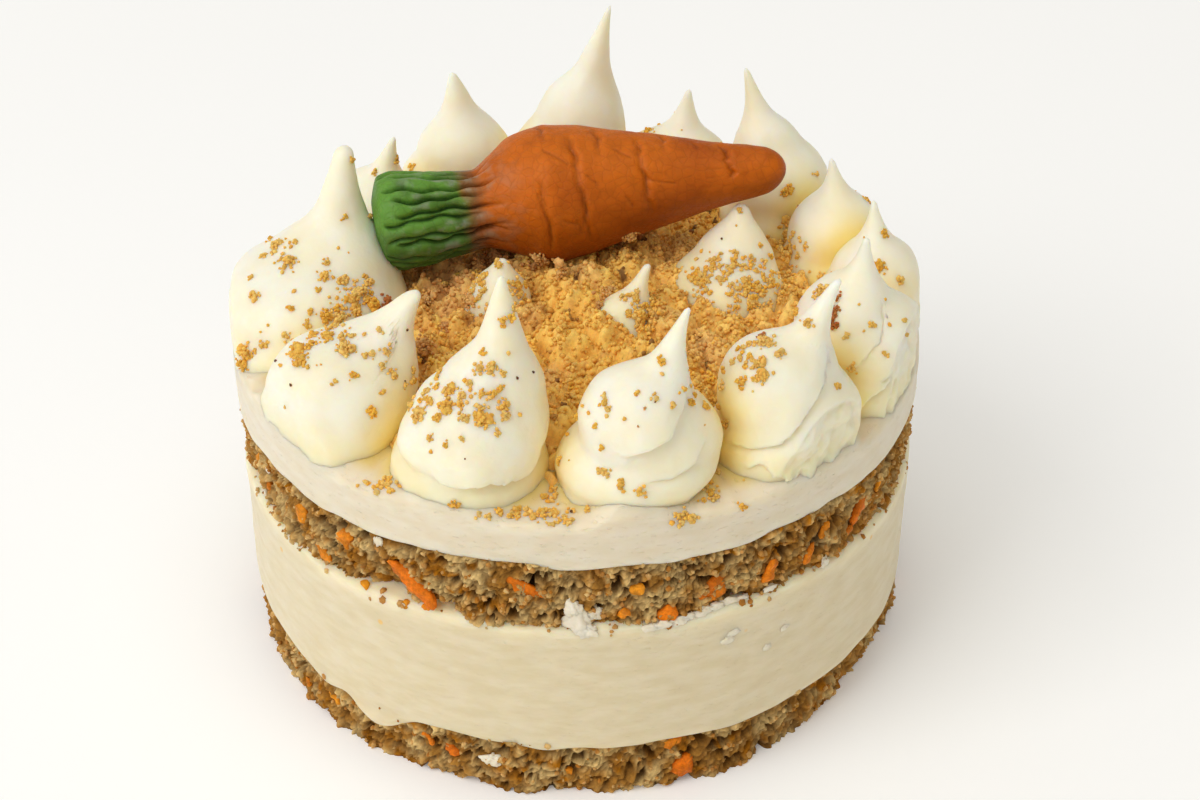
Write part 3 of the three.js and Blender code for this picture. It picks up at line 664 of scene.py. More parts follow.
# ------------------------------------------------------------------ piped kisses
# The same values as the CAD solids have, apart from torn. at: middle of the foot. balls: the squashed balls
# of cream that build up a kiss, as (x, y, z, radius, half height) from its foot. root and tip: ends of the
# drawn-out peak, as (x, y, z, radius) from the foot. taper: how the peak narrows, 1 in a straight line, more for
# a waist. torn: roughness of the face that the mould pulled off.
KISSES = {
    "kiss_01": {
        "at": (-26.1, -21.3), "taper": 0.9, "torn": 0.12,
        "balls": ((0.5, 0.3, 3.6, 7.8, 7.2), (-0.6, -0.8, 1.4, 8.0, 4.4), (3.4, 1.6, 5.2, 5.4, 6.2)),
        "root": (5.4, 2.4, 9.2, 3.4), "tip": (9.2, 3.4, 14.8, 0.7),
    },
    "kiss_02": {
        "at": (-10.8, -29.4), "taper": 0.95, "torn": 0.2,
        "balls": (
            (-0.2, 0.2, 1.2, 8.2, 4.0), (0.8, 0.1, 5.8, 7.1, 6.0),
            (-0.4, -1.2, 4.8, 7.0, 3.4), (2.0, 0.8, 8.6, 5.2, 5.4),
        ),
        "root": (3.3, 1.4, 10.5, 3.7), "tip": (3.6, 2.0, 22.2, 0.3),
    },
    "kiss_03": {
        "at": (6.4, -30.6), "taper": 1.2, "torn": 0.1,
        "balls": (
            (-0.4, 0.2, 1.8, 8.0, 4.6), (2.7, 0.3, 4.8, 6.4, 5.2),
            (0.9, -0.6, 2.6, 7.8, 3.6), (0.2, -0.3, 7.2, 6.1, 6.0),
        ),
        "root": (2.9, 1.2, 12.0, 2.3), "tip": (5.2, 1.7, 19.4, 0.3),
    },
    "kiss_04": {
        "at": (21.9, -25.1), "taper": 1.3, "torn": 0.4,
        "balls": (
            (0.2, 0, 1.4, 7.9, 4.0), (1.8, 0.1, 4.6, 6.7, 4.4),
            (0.9, 0.1, 2.6, 7.6, 3.2), (-0.8, 0.4, 7.0, 6.1, 6.2),
        ),
        "root": (2.4, 1.6, 11.6, 2.8), "tip": (5.4, 2.2, 19.2, 0.45),
    },
    "kiss_05": {
        "at": (31.0, -12.9), "taper": 1.35, "torn": 0.35,
        "balls": ((0, 0, 1.6, 8.6, 4.4), (1.4, -0.2, 5.6, 7.2, 5.4), (-1.2, 0.4, 6.4, 6.0, 6.6)),
        "root": (0.1, 0.6, 11.8, 2.4), "tip": (0.4, 0.6, 18.0, 0.35),
    },
    "kiss_06": {
        "at": (34.3, 0.8), "taper": 1.3, "torn": 0.25,
        "balls": ((0, 0, 1.6, 6.8, 4.0), (0.6, 0.3, 4.6, 5.6, 5.2)),
        "root": (0.2, 0.8, 8.6, 2.2), "tip": (-0.2, 2.2, 14.2, 0.3),
    },
    "kiss_07": {
        "at": (32.0, 10.6), "taper": 1.3, "torn": 0.25,
        "balls": ((0, 0, 1.6, 7.4, 4.2), (-0.8, 0.2, 5.2, 5.8, 5.4)),
        "root": (-1.2, 0.8, 9.8, 2.0), "tip": (-2.0, 1.2, 15.0, 0.3),
    },
    "kiss_08": {
        "at": (25.1, 21.6), "taper": 1.15, "torn": 0.2,
        "balls": ((0, 0, 1.8, 7.6, 4.4), (-0.2, 0.4, 6.0, 6.4, 6.2), (-1.6, 1.0, 9.6, 4.3, 5.0)),
        "root": (-2.6, 1.8, 12.4, 2.4), "tip": (-4.7, 3.2, 20.6, 0.3),
    },
    "kiss_09": {
        "at": (12.4, 29.4), "taper": 1.1, "torn": 0.2,
        "balls": ((0, 0, 1.6, 7.8, 4.0), (0.6, 0, 5.0, 6.2, 5.0), (-2.6, 0, 5.6, 3.8, 4.0)),
        "root": (0.8, 0.2, 9.0, 2.4), "tip": (1.4, 0.2, 15.4, 0.3),
    },
    "kiss_10": {
        "at": (-2.2, 29.3), "taper": 1.25, "torn": 0.2,
        "balls": ((0, 0, 2.0, 8.2, 4.8), (0.8, 0.2, 6.4, 7.0, 6.2), (2.0, 0.3, 11.0, 5.3, 5.8)),
        "root": (3.6, 0.3, 15.6, 3.2), "tip": (6.1, 0.3, 26.6, 0.25),
    },
    "kiss_11": {
        "at": (-15.2, 27.0), "taper": 0.95, "torn": 0.2,
        "balls": ((-0.2, 0, 1.8, 7.8, 4.4), (0.9, 0.2, 8.2, 5.6, 4.6), (-0.4, 0, 4.6, 6.7, 4.2)),
        "root": (0.6, 0.8, 12.2, 2.6), "tip": (-0.4, 1.2, 18.4, 0.35),
    },
    "kiss_12": {
        "at": (-26.2, 17.8), "taper": 1.1, "torn": 0.2,
        "balls": ((0, 0, 1.6, 7.6, 4.2), (1.0, 0.2, 5.0, 5.8, 4.8)),
        "root": (2.6, 0.3, 9.2, 2.0), "tip": (4.0, 0.4, 14.6, 0.3),
    },
    "kiss_13": {
        "at": (-31.2, -2.0), "taper": 1.5, "torn": 0.1,
        "balls": ((0.4, 0.6, 2.2, 11.5, 8.2), (-1.0, -1.0, 1.2, 11.6, 4.8), (2.4, 2.8, 5.0, 8.2, 7.2)),
        "root": (3.8, 4.4, 11.0, 3.8), "tip": (4.9, 6.0, 20.7, 1.05),
    },
    "kiss_14": {
        "at": (-9.0, -3.9), "taper": 1.0, "torn": 0.0,
        "balls": ((0, 0, 2.8, 4.0, 4.6), (0.2, 0, 5.0, 3.2, 3.6)),
        "root": (0.4, 0, 7.8, 1.4), "tip": (0.6, 0.1, 10.4, 0.5),
    },
    "kiss_15": {
        "at": (5.1, -6.9), "taper": 1.2, "torn": 0.0,
        "balls": ((0, 0, 3.0, 3.8, 3.8),),
        "root": (1.4, 0.8, 6.0, 1.6), "tip": (3.0, 1.7, 10.6, 0.4),
    },
    "kiss_16": {
        "at": (17.4, 2.0), "taper": 1.0, "torn": 0.0,
        "balls": ((0, 0, 2.6, 6.9, 5.0), (1.0, 2.2, 5.2, 4.6, 4.2)),
        "root": (1.4, 3.4, 8.2, 2.2), "tip": (1.8, 4.6, 11.8, 0.7),
    },
}
# Folds of cream that show from the front: the kiss, its pixels in the picture, depth in mm, and how ragged the
# hanging lip is, 0 to 1.
FOLDS = (
    (
        "kiss_02",
        ((431, 473), (452, 482), (478, 484), (503, 480), (522, 468), (537, 450), (546, 434)), 1.0, 1.0,
    ),
    ("kiss_03", ((690, 352), (688, 378), (684, 402), (672, 430), (650, 447), (622, 458)), 1.0, 0.1),
    ("kiss_03", ((708, 440), (694, 462), (672, 478), (640, 484)), 0.65, 0.1),
    (
        "kiss_04",
        ((828, 346), (825, 377), (815, 399), (798, 424), (780, 441), (752, 446), (724, 441)), 0.95, 0.1,
    ),
    ("kiss_04", ((851, 424), (836, 446), (812, 466), (795, 478), (770, 472), (742, 466)), 0.8, 0.9),
    ("kiss_05", ((882, 300), (884, 318), (878, 340), (862, 362), (840, 374)), 0.5, 0.1),
    ("kiss_05", ((902, 350), (886, 384), (866, 404), (846, 414)), 0.75, 0.6),
    ("kiss_01", ((396, 318), (392, 352), (372, 384)), 0.3, 0.0),
)
FRONT_KISSES = ("kiss_01", "kiss_02", "kiss_03", "kiss_04", "kiss_05", "kiss_13")
# Rows and columns of a kiss in front, and of one at the back.
FRONT_NET = (70, 150)
BACK_NET = (38, 80)
# How softly balls and peak run into each other, and how late the peak bends over.
BALL_BLEND = 0.32
PEAK_BLEND = 0.9
PEAK_BEND = 1.3
RAY_SAMPLES = 32
PROFILE_ROWS = 220
PROFILE_SIDES = 12
# A fold: sharpness of its lip, how far it lifts the skin, and how far its lip hangs down.
FOLD_SAMPLES = 60
FOLD_LIP = 0.3
FOLD_REACH = 2.0
FOLD_DROOP = 0.6
FOLD_SEARCH = 8
# How far a kiss sinks into the cream, how far its foot spreads, and the blunt end of its tip.
KISS_SINK = 0.5
FOOT_FLARE = 0.7
TIP_RADIUS = 0.12
# The yellow glow painted near other cream, for light that has passed through it: its reach on kisses and on the
# top, and its strength low down.
GLOW_REACH = 3.1
TOP_GLOW_REACH = 1.9
LOW_GLOW = 0.4
GLOW_SEARCH = 18


def soft_min(values, blend):
    """The lowest of some values, rounded off where two are close."""
    lowest = values.min(0)
    return lowest - blend * np.log(np.exp((lowest - values) / blend).sum(0))


def kiss_axis(kiss, height):
    """The middle of a kiss at a height: upright to the root of the peak, then bending over to its tip."""
    root = np.array(kiss["root"])
    tip = np.array(kiss["tip"])
    below = height[..., None] / root[2] * root[:2]
    bend = np.clip((height - root[2]) / (tip[2] - root[2]), 0, 1)[..., None] ** PEAK_BEND
    return np.where(height[..., None] < root[2], below, root[:2] + (tip[:2] - root[:2]) * bend)


def peak_radius(kiss, height):
    _, _, low, wide = kiss["root"]
    _, _, high, narrow = kiss["tip"]
    share = np.clip((height - low) / (high - low), -1, 1)
    return (narrow + (wide - narrow) * (1 - share) ** kiss["taper"]) * rounded((high - height) / narrow)


def kiss_field(kiss, points):
    """Distance of points, measured from the foot, from the skin of a kiss, negative inside."""
    balls = []
    for x, y, z, radius, half in kiss["balls"]:
        offset = points - (x, y, z)
        size = np.linalg.norm(offset / (radius, radius, half), axis=-1) + 1e-6
        balls.append(np.linalg.norm(offset, axis=-1) * (1 - 1 / size))
    off_axis = points[..., :2] - kiss_axis(kiss, points[..., 2])
    peak = np.linalg.norm(off_axis, axis=-1) - peak_radius(kiss, points[..., 2])
    return soft_min(np.stack([soft_min(np.stack(balls), BALL_BLEND), peak]), PEAK_BLEND)


def kiss_radius(kiss, angle, height):
    """How far the skin stands off the axis: the outermost place along a ray where the field turns negative."""
    farthest = 2 + max(radius + math.hypot(x, y) for x, y, _, radius, _ in kiss["balls"])
    reach = np.linspace(farthest, 0, RAY_SAMPLES)
    around = np.stack([np.cos(angle), np.sin(angle)], -1)
    flat = kiss_axis(kiss, height)[..., None, :] + reach[:, None] * around[..., None, :]
    levels = np.broadcast_to(height[..., None, None], (*flat.shape[:-1], 1))
    field = kiss_field(kiss, np.concatenate([flat, levels], -1))
    inside = field < 0
    first = np.clip(np.argmax(inside, -1), 1, None)[..., None]
    outer = np.take_along_axis(field, first - 1, -1)[..., 0]
    inner = np.take_along_axis(field, first, -1)[..., 0]
    share = np.clip(outer / np.maximum(outer - inner, 1e-9), 0, 1)
    radius = reach[first[..., 0] - 1] - (reach[0] - reach[1]) * share
    return np.where(inside.any(-1), radius, TIP_RADIUS)


def even_heights(kiss, rows):
    """Heights from foot to tip, evenly spaced along the profile of a kiss."""
    heights = np.linspace(0, kiss["tip"][2] - 0.01, PROFILE_ROWS)
    angle, height = side_surface(heights, PROFILE_SIDES)
    radius = kiss_radius(kiss, angle, height)
    strides = np.hypot(np.diff(radius, axis=0), np.diff(height, axis=0))
    travelled = running_total(0.5 * strides.max(1) + 0.5 * strides.mean(1))
    return np.interp(np.linspace(0, travelled[-1], rows), travelled, heights)


def fold_line(tree, pixels):
    """Points on a kiss, in mm, along a line of pixels of the picture."""
    hits = [hit_at_pixel(tree, x, y)[0] for x, y in evenly_spaced(np.array(pixels, float), FOLD_SAMPLES)]
    return np.array([place for place in hits if place is not None])


def fold_relief(name, points, faces):
    """How far folds lift the skin above them, and how far the lifted lip hangs down over what is below it."""
    relief = np.zeros(len(points))
    droop = np.zeros(len(points))
    folds = [fold[1:] for fold in FOLDS if fold[0] == name]
    if not folds:
        return relief, droop
    tree = tree_of([(points, faces)])
    upward = PICTURE_UP + 0.4 * np.array([0, 0, 1])
    for pixels, depth, ragged in folds:
        line = fold_line(tree, pixels)
        offsets = points[:, None] - line
        distance = np.linalg.norm(offsets, axis=-1)
        closest = distance.argmin(1)
        offset = np.take_along_axis(offsets, closest[:, None, None], 1)[:, 0]
        waver = (0.12 + 0.55 * ragged) * noise(points / 1.9 + 17) + 0.45 * ragged * noise(points / 0.8 + 5)
        off = distance.min(1) * np.sign(offset @ upward) + waver
        fade = np.sin(math.pi * closest / (len(line) - 1)) ** 0.5 * (distance.min(1) < FOLD_SEARCH)
        lip = FOLD_LIP if ragged < 0.5 else 0.5 * FOLD_LIP
        relief += depth * fade * np.tanh(off / lip) * np.exp(-np.abs(off) / FOLD_REACH)
        droop += depth * fade * FOLD_DROOP * bell(off - 0.35, 0.7) * (off > -0.3)
    return relief, droop


def gap_to_kisses(points, own_name=""):
    """Distance in mm from the skins of the other kisses, negative inside one, FAR at most."""
    gap = np.full(len(points), FAR)
    for name, kiss in KISSES.items():
        foot = np.array([*kiss["at"], CREAM_TOP])
        near = np.linalg.norm((points - foot)[:, :2], axis=1) < GLOW_SEARCH
        if name != own_name and near.any():
            gap[near] = np.minimum(gap[near], kiss_field(kiss, points[near] - foot))
    return gap


def painted_cream_glow(points, own_name, reach):
    """Painted glow: light that has passed through cream is yellower, so the colour is painted yellower where
    kisses meet each other and the top.
    """
    share = bell(np.maximum(gap_to_kisses(points, own_name), 0), reach)
    if own_name:
        low = np.maximum(points[:, 2] - bed_height(points[:, 0], points[:, 1]), 0)
        share = np.maximum(share, LOW_GLOW * bell(low, reach))
    return mixed(np.ones(3), PAINTED_GLOW_YELLOW, share)


WALL_SOFTNESS = 0.5


def pressed_to_wall(points, torn):
    """Points past the wall of the mould come back to it, and what was pressed there is a little rough."""
    reach = np.hypot(points[..., 0], points[..., 1])
    past = np.logaddexp(0, (reach - WALL) / WALL_SOFTNESS) * WALL_SOFTNESS
    pulled = smooth_step(reach, WALL - 0.1, WALL + 0.4)
    ragged = torn * pulled * (0.5 + rough(points, 1.5, 23)) + 0.4 * torn * pulled * pebbles(points, 1.1, 8)
    new_reach = reach - past - np.maximum(0, ragged)
    return points * np.stack([new_reach / reach, new_reach / reach, np.ones_like(reach)], -1)


def add_kiss(name, kiss, material):
    """A kiss of hand-piped cream, with its folds, its spread foot and its painted glow."""
    rows, columns = FRONT_NET if name in FRONT_KISSES else BACK_NET
    angle, height = side_surface(even_heights(kiss, rows), columns)
    middle = kiss_axis(kiss, height) + kiss["at"]
    around = np.stack([np.cos(angle), np.sin(angle)], -1)
    radius = kiss_radius(kiss, angle, height)
    sink = KISS_SINK * (1 - smooth_step(height, 0, 0.8))

    def skin(radius, lowered):
        flat = middle + radius[..., None] * around
        return np.concatenate([flat, (CREAM_TOP + height - lowered)[..., None]], -1)

    plain = skin(radius, 0)
    hand = 0.32 * noise(plain / 6.5) + 0.17 * noise(plain / 2.6 + 3) + 0.04 * noise(plain / 0.9 + 6)
    radius = np.maximum(TIP_RADIUS, radius + hand * smooth_step(radius, 0.3, 3.0))
    radius = radius + FOOT_FLARE * (1 - smooth_step(height, 0, 1.0)) ** 2
    relief, droop = fold_relief(name, *loft(skin(radius, 0)))
    relief = relief[:-2].reshape(rows, columns) * smooth_step(radius, 0.3, 2.0)
    droop = droop[:-2].reshape(rows, columns) * smooth_step(radius, 0.3, 2.0)
    rings = pressed_to_wall(skin(radius + relief, droop + sink), kiss["torn"])
    points, faces = loft(rings, last=rings[-1].mean(0) + (0, 0, 0.02))
    # Painted yellow glow near the other kisses and low down by the crumbs.
    tint = painted_cream_glow(points, name, GLOW_REACH)
    return add_piece("piped_" + name, points, faces, material, "piped_cream", [name], tint)


# ------------------------------------------------------------------ the marzipan carrot
# The line down the middle of the carrot, from its leaf end, and its radii, as (place along it, radius).
CARROT_AXIS = ((-23.4, 3.2, 49.1), (-11.6, 5.4, 49.7), (-3.9, 7.8, 50.4), (24.4, 9.0, 53.4))
CARROT_LENGTH = 48.6
CARROT_RADII = (
    (0, 4.2), (0.8, 5.3), (2.6, 5.9), (6, 5.6), (9.5, 4.9), (12.4, 4.5), (15.3, 6.1), (17.7, 7.5), (20.7, 8.1),
    (24.9, 7.5), (29.6, 6.4), (34.4, 5.25), (39.2, 4.1), (44, 3.2), (46.8, 2.6), (48.6, 2.3),
)
# Knife marks: place along the carrot, from angle, to angle (90 is up, 180 faces the front), depth.
KNIFE_MARKS = (
    (19.2, 132, 215, 0.35), (20.6, 50, 112, 0.25), (24.4, 86, 212, 0.5), (27.0, 68, 130, 0.35),
    (32.0, 90, 196, 0.5), (34.6, 66, 122, 0.35), (41.8, 80, 170, 0.45), (38.2, 78, 112, 0.25),
    (29.5, 250, 330, 0.4), (23, 270, 400, 0.4),
)
MARK_WIDTH = 0.26
# Fine cracks: from (place, angle) to (place, angle).
CRACKS = (
    (20.4, 112, 23.2, 128), (21.8, 176, 23.4, 182), (23.5, 178, 23.9, 192), (28.6, 112, 30.8, 124),
    (32.6, 150, 35.6, 158), (25.4, 140, 26.6, 150), (29.8, 165, 30.4, 176), (18.2, 150, 18.8, 168),
)
# The radius that turns an angle into mm along the skin, for the cracks.
SKIN_RADIUS = 7
CARROT_ROWS = 220
CARROT_COLUMNS = 190
# How far the rows crowd together at both ends, and how finely the axis is sampled.
CARROT_CROWDING = 0.08
AXIS_SAMPLES = 487
# Lengths of the rounded ends, and where the leaf end stops.
ROOT_CAP = 2.6
LEAF_CAP = 1.5
LEAF_CREASES = 23
LEAF_END = 11.4
MARZIPAN_ORANGE = colour(200, 101, 8)
MARZIPAN_RUST = colour(168, 77, 4)
LEAF_GREEN = colour(98, 146, 54)
LEAF_DARK = colour(34, 68, 22)
# Pale frost on the leaf's ridges: partly real frosting, partly a painted highlight.
LEAF_FROST = colour(150, 156, 138)
LEAF_NECK = colour(118, 92, 60)
UNDER_SHADE = 0.4


def curve_through(points, samples):
    """A smooth curve through a few points, at evenly spaced lengths: a centripetal Catmull-Rom curve."""
    points = np.array(points, float)
    points = np.concatenate([[2 * points[0] - points[1]], points, [2 * points[-1] - points[-2]]])
    knots = running_total(np.linalg.norm(np.diff(points, axis=0), axis=1) ** 0.5)
    curve = []
    for index in range(1, len(points) - 2):
        time = np.linspace(knots[index], knots[index + 1], 200)[:, None]
        level = [points[index + step] for step in (-1, 0, 1, 2)]
        spans = [knots[index + step] for step in (-1, 0, 1, 2)]
        for depth in (1, 2, 3):
            for item in range(4 - depth):
                start, end = (spans[item], spans[item + depth]) if depth < 3 else (spans[1], spans[2])
                level[item] = ((end - time) * level[item] + (time - start) * level[item + 1]) / (end - start)
        curve.append(level[0])
    return evenly_spaced(np.concatenate(curve), samples)


def carrot_profile(steps):
    """The table of radii, rounded off."""
    places, radii = np.array(CARROT_RADII).T
    spread = np.linspace(-0.9, 0.9, 7)
    weights = bell(spread, 0.6)
    mirrored = np.clip(steps[:, None] + spread * smooth_step(steps, 0.5, 2.5)[:, None], 0, CARROT_LENGTH)
    smoothed = (np.interp(mirrored, places, radii) * weights).sum(1) / weights.sum()
    return smoothed * rounded((CARROT_LENGTH - steps) / ROOT_CAP) * rounded((steps + 0.3) / LEAF_CAP)


def carrot_relief(step, angle):
    """Relief in mm and how deep in a crease, 0 to 1."""
    relief = np.zeros_like(step)
    crease = np.zeros_like(step)
    radius = np.interp(step, *np.array(CARROT_RADII).T)
    for number in range(LEAF_CREASES):
        scatter = lattice(number, 3.0, 1.0) - 0.5
        middle = 360 / LEAF_CREASES * (number + 0.7 * scatter)
        start = 0.3 + 1.8 * lattice(number, 5.0, 2.0) ** 1.5
        stop = LEAF_END + 2.5 * lattice(number, 6.0, 2.0) - 0.5
        depth = 0.35 + 0.75 * lattice(number, 7.0, 2.0)
        slow = math.radians(2.6) * np.sin(step * 0.6 + number)
        quick = math.radians(1.6) * np.sin(step * 1.7 + 2 * number)
        off = angle_off(angle + (slow + quick), middle) * radius
        along = smooth_step(step, start, start + 1.6) * (1 - smooth_step(step, stop - 2.0, stop + 2.0))
        groove = bell(off, 0.19) * along
        relief = relief - depth * groove - 0.3 * bell(off, 0.55) * along
        crease = np.maximum(crease, groove * min(1, 0.55 + depth))
    for place, angle0, angle1, depth in KNIFE_MARKS:
        middle = (angle0 + angle1) / 2
        half = math.radians(angle1 - angle0) / 2
        turn = angle_off(angle, middle)
        lean = 0.5 * np.sin(turn * 1.3) + 0.16 * np.sin(turn * 9 + place) + 0.08 * np.sin(turn * 21 + place)
        reach = smooth_step(half - np.abs(turn), 0, 0.35) * (0.75 + 0.25 * np.sin(turn * 7 + place))
        past = step - place - lean
        groove = bell(past, MARK_WIDTH) * reach
        relief = relief - depth * groove - 0.25 * depth * bell(past, 0.8) * reach
        relief = relief + 0.14 * bell(past - 0.85, 0.5) * reach
        crease = np.maximum(crease, 0.6 * groove)
    for place0, angle0, place1, angle1 in CRACKS:
        start = np.array([place0, math.radians(angle0) * SKIN_RADIUS])
        run = np.array([place1, math.radians(angle1) * SKIN_RADIUS]) - start
        here = np.stack([step - start[0], angle % (2 * math.pi) * SKIN_RADIUS - start[1]], -1)
        share = np.clip(here @ run / (run @ run), 0, 1)
        off = np.linalg.norm(here - share[..., None] * run, axis=-1)
        groove = bell(off, 0.14)
        relief = relief - 0.16 * groove
        crease = np.maximum(crease, 0.4 * groove)
    return relief, crease


def add_carrot(material):
    """The marzipan carrot with its creased leaf end, one skin along a bent axis."""
    even = np.linspace(0, 1, CARROT_ROWS)
    steps = (CARROT_LENGTH - 0.03) * (even - CARROT_CROWDING * np.sin(2 * math.pi * even))
    shares = np.linspace(0, 1, AXIS_SAMPLES)
    axis = curve_through(CARROT_AXIS, AXIS_SAMPLES)
    centre = np.stack([np.interp(steps / CARROT_LENGTH, shares, values) for values in axis.T], -1)
    along = np.gradient(centre, axis=0)
    along = along / np.linalg.norm(along, axis=1)[:, None]
    side = np.cross((0, 0, 1), along)
    side = side / np.linalg.norm(side, axis=1)[:, None]
    rise = np.cross(along, side)
    angle, step = side_surface(steps, CARROT_COLUMNS)
    relief, crease = carrot_relief(step, angle)
    radius = carrot_profile(steps)[:, None]
    outward = side[:, None] * np.cos(angle)[..., None] + rise[:, None] * np.sin(angle)[..., None]
    plain = centre[:, None] + radius[..., None] * outward
    hand = 0.14 * noise(plain / 4.5 + 2) + 0.05 * noise(plain / 1.8 + 5)
    wrinkle = 1 - np.abs(noise(plain * (1, 1, 1.6) / 1.5 + 8)) ** 0.6
    body = smooth_step(step, LEAF_END, LEAF_END + 4)
    hand = hand - 0.08 * wrinkle * body * blotches(plain, 3.0, 44, -0.4, 0.5)
    tip = smooth_step(step, 45.5, 48.5)
    rings = centre[:, None] + (radius + relief * (1 - tip) + hand * (1 - 0.7 * tip))[..., None] * outward
    points, faces = loft(rings, first=rings[0].mean(0) + 0.15 * (centre[0] - centre[5]))
    leaf = 1 - smooth_step(step + 0.7 * noise(plain / 1.3), LEAF_END - 1.4, LEAF_END + 0.2)
    neck = bell(step + 0.5 * noise(plain / 1.0 + 4) - LEAF_END + 0.2, 1.3)
    tint = mixed(MARZIPAN_RUST, MARZIPAN_ORANGE, blotches(plain, 7.0, 31, -1.4, 0.4))
    green = mixed(LEAF_GREEN, LEAF_GREEN * 0.6, blotches(plain, 2.5, 37, -0.3, 0.8, lift=(step - 5) / 9))
    tint = mixed(tint, green, leaf)
    tint = mixed(tint, LEAF_NECK, 0.75 * neck)
    # Pale frost on the ridges near the neck: partly real frosting, partly a painted highlight.
    frost = blotches(plain, 0.9, 53, -0.3, 0.8) * bell(step - LEAF_END + 3, 5) * smooth_step(relief, -0.4, 0)
    tint = mixed(tint, LEAF_FROST, 0.75 * frost)
    # Darker in the creases, knife marks and cracks: painted shade, and on the leaf also darker green colour in
    # the grooves.
    tint = mixed(tint, mixed(MARZIPAN_RUST * 0.3, LEAF_DARK, leaf), 0.8 * crease)
    tint = tint * (1 - UNDER_SHADE * smooth_step(outward[..., 2:], 0.6, -0.5))
    tint = np.concatenate([tint.reshape(-1, 3), [LEAF_GREEN, MARZIPAN_ORANGE]])
    return add_piece("carrot_marzipan", points, faces, material, "marzipan", ["marzipan_carrot"], tint)


# ------------------------------------------------------------------ crumbs
# The heap: its radius, the rise of its dome over a low skirt, and the cells of its net along one side.
BED = {"radius": 33.0, "height": 5.3, "skirt": 0.7, "cells": 196}
# Loose grains on the heap, and the circle that they stay inside.
BED_GRAINS = 5800
OPEN_BED = 30.0
GOLDEN = colour(255, 206, 98)
TAN = colour(242, 196, 122)
BROWN = colour(200, 142, 82)
RUSSET = colour(190, 108, 44)
SPECK = colour(104, 66, 36)
CRUMB_YELLOW = colour(255, 194, 70)
CRUMB_PALE = colour(255, 214, 124)
# Painted shade: crumb and grain colours are multiplied by this in hollows, creases and between knobs.
HOLLOW_SHADE = colour(224, 174, 106)
# Where the heap is browner, and where painted light makes it paler: x, y and reach in mm.
BROWN_PATCH = (-15.0, 2.0, 9.0)
PAINTED_LIGHT_PATCH = (22.0, 4.0, 13.0)


def bed_height(x, y):
    share = np.minimum(1, np.hypot(x, y) / BED["radius"])
    return CREAM_TOP + BED["skirt"] + BED["height"] * (1 - share**2)


def nearness(points, patch):
    """1 in the middle of a patch given as (x, y, reach), falling away round it."""
    x, y, reach = patch
    return bell(np.hypot(points[..., 0] - x, points[..., 1] - y), reach)


def crumb_tint(points, tag, cavity, seed):
    """Golden crumb with tan and brown patches, paler in one patch with painted light, darker in its creases with
    painted shade, and with a few dark specks.
    """
    browner = nearness(points, BROWN_PATCH)
    tint = mixed(GOLDEN, TAN, 0.8 * blotches(points, 4.5, seed, -0.2, 1.2, lift=1.2 * browner))
    browned = blotches(points, 2.2, seed + 5, 0.1, 1.1, lift=browner)
    tint = mixed(tint, BROWN, (0.25 + 0.5 * browner) * browned)
    tint = mixed(tint, BROWN, 0.4 * smooth_step(tag, 0.8, 1.0))
    # Paler in one patch with painted light.
    tint = mixed(tint, CRUMB_PALE, 0.75 * nearness(points, PAINTED_LIGHT_PATCH))
    tint = mixed(tint, SPECK, 0.8 * smooth_step(tag, 0.988, 0.992))
    # Painted shade in the creases.
    return mixed(tint, tint * HOLLOW_SHADE, 1 - cavity)


def disc_net():
    """A square net drawn out to the disc of the heap, as grids of x and y."""
    across = np.linspace(-1, 1, BED["cells"] + 1)
    x, y = np.meshgrid(across, across)
    angle = np.arctan2(y, x)
    out = BED["radius"] * np.maximum(np.abs(x), np.abs(y))
    return out * np.cos(angle), out * np.sin(angle)


def footed(top, level):
    """Points and faces of a square net of points, with a wall down from its rim to a floor at a level."""
    side = len(top)
    order = np.arange(side**2).reshape(side, side)
    a, b, c, d = order[:-1, :-1], order[:-1, 1:], order[1:, 1:], order[1:, :-1]
    faces = np.concatenate([np.stack([a, b, c], -1).reshape(-1, 3), np.stack([a, c, d], -1).reshape(-1, 3)])
    rim = np.concatenate([order[0, :-1], order[:-1, -1], order[-1, :0:-1], order[:0:-1, 0]])
    points = top.reshape(-1, 3)
    foot = points[rim] * (1, 1, 0) + (0, 0, level)
    low = np.arange(len(rim)) + len(points)
    next_low = np.roll(low, -1)
    middle = np.full(len(rim), len(points) + len(rim))
    wall = [np.stack([rim, low, next_low], -1), np.stack([rim, next_low, np.roll(rim, -1)], -1)]
    floor = np.stack([next_low, low, middle], -1)
    return np.concatenate([points, foot, [(0, 0, level)]]), np.concatenate([faces, *wall, floor])


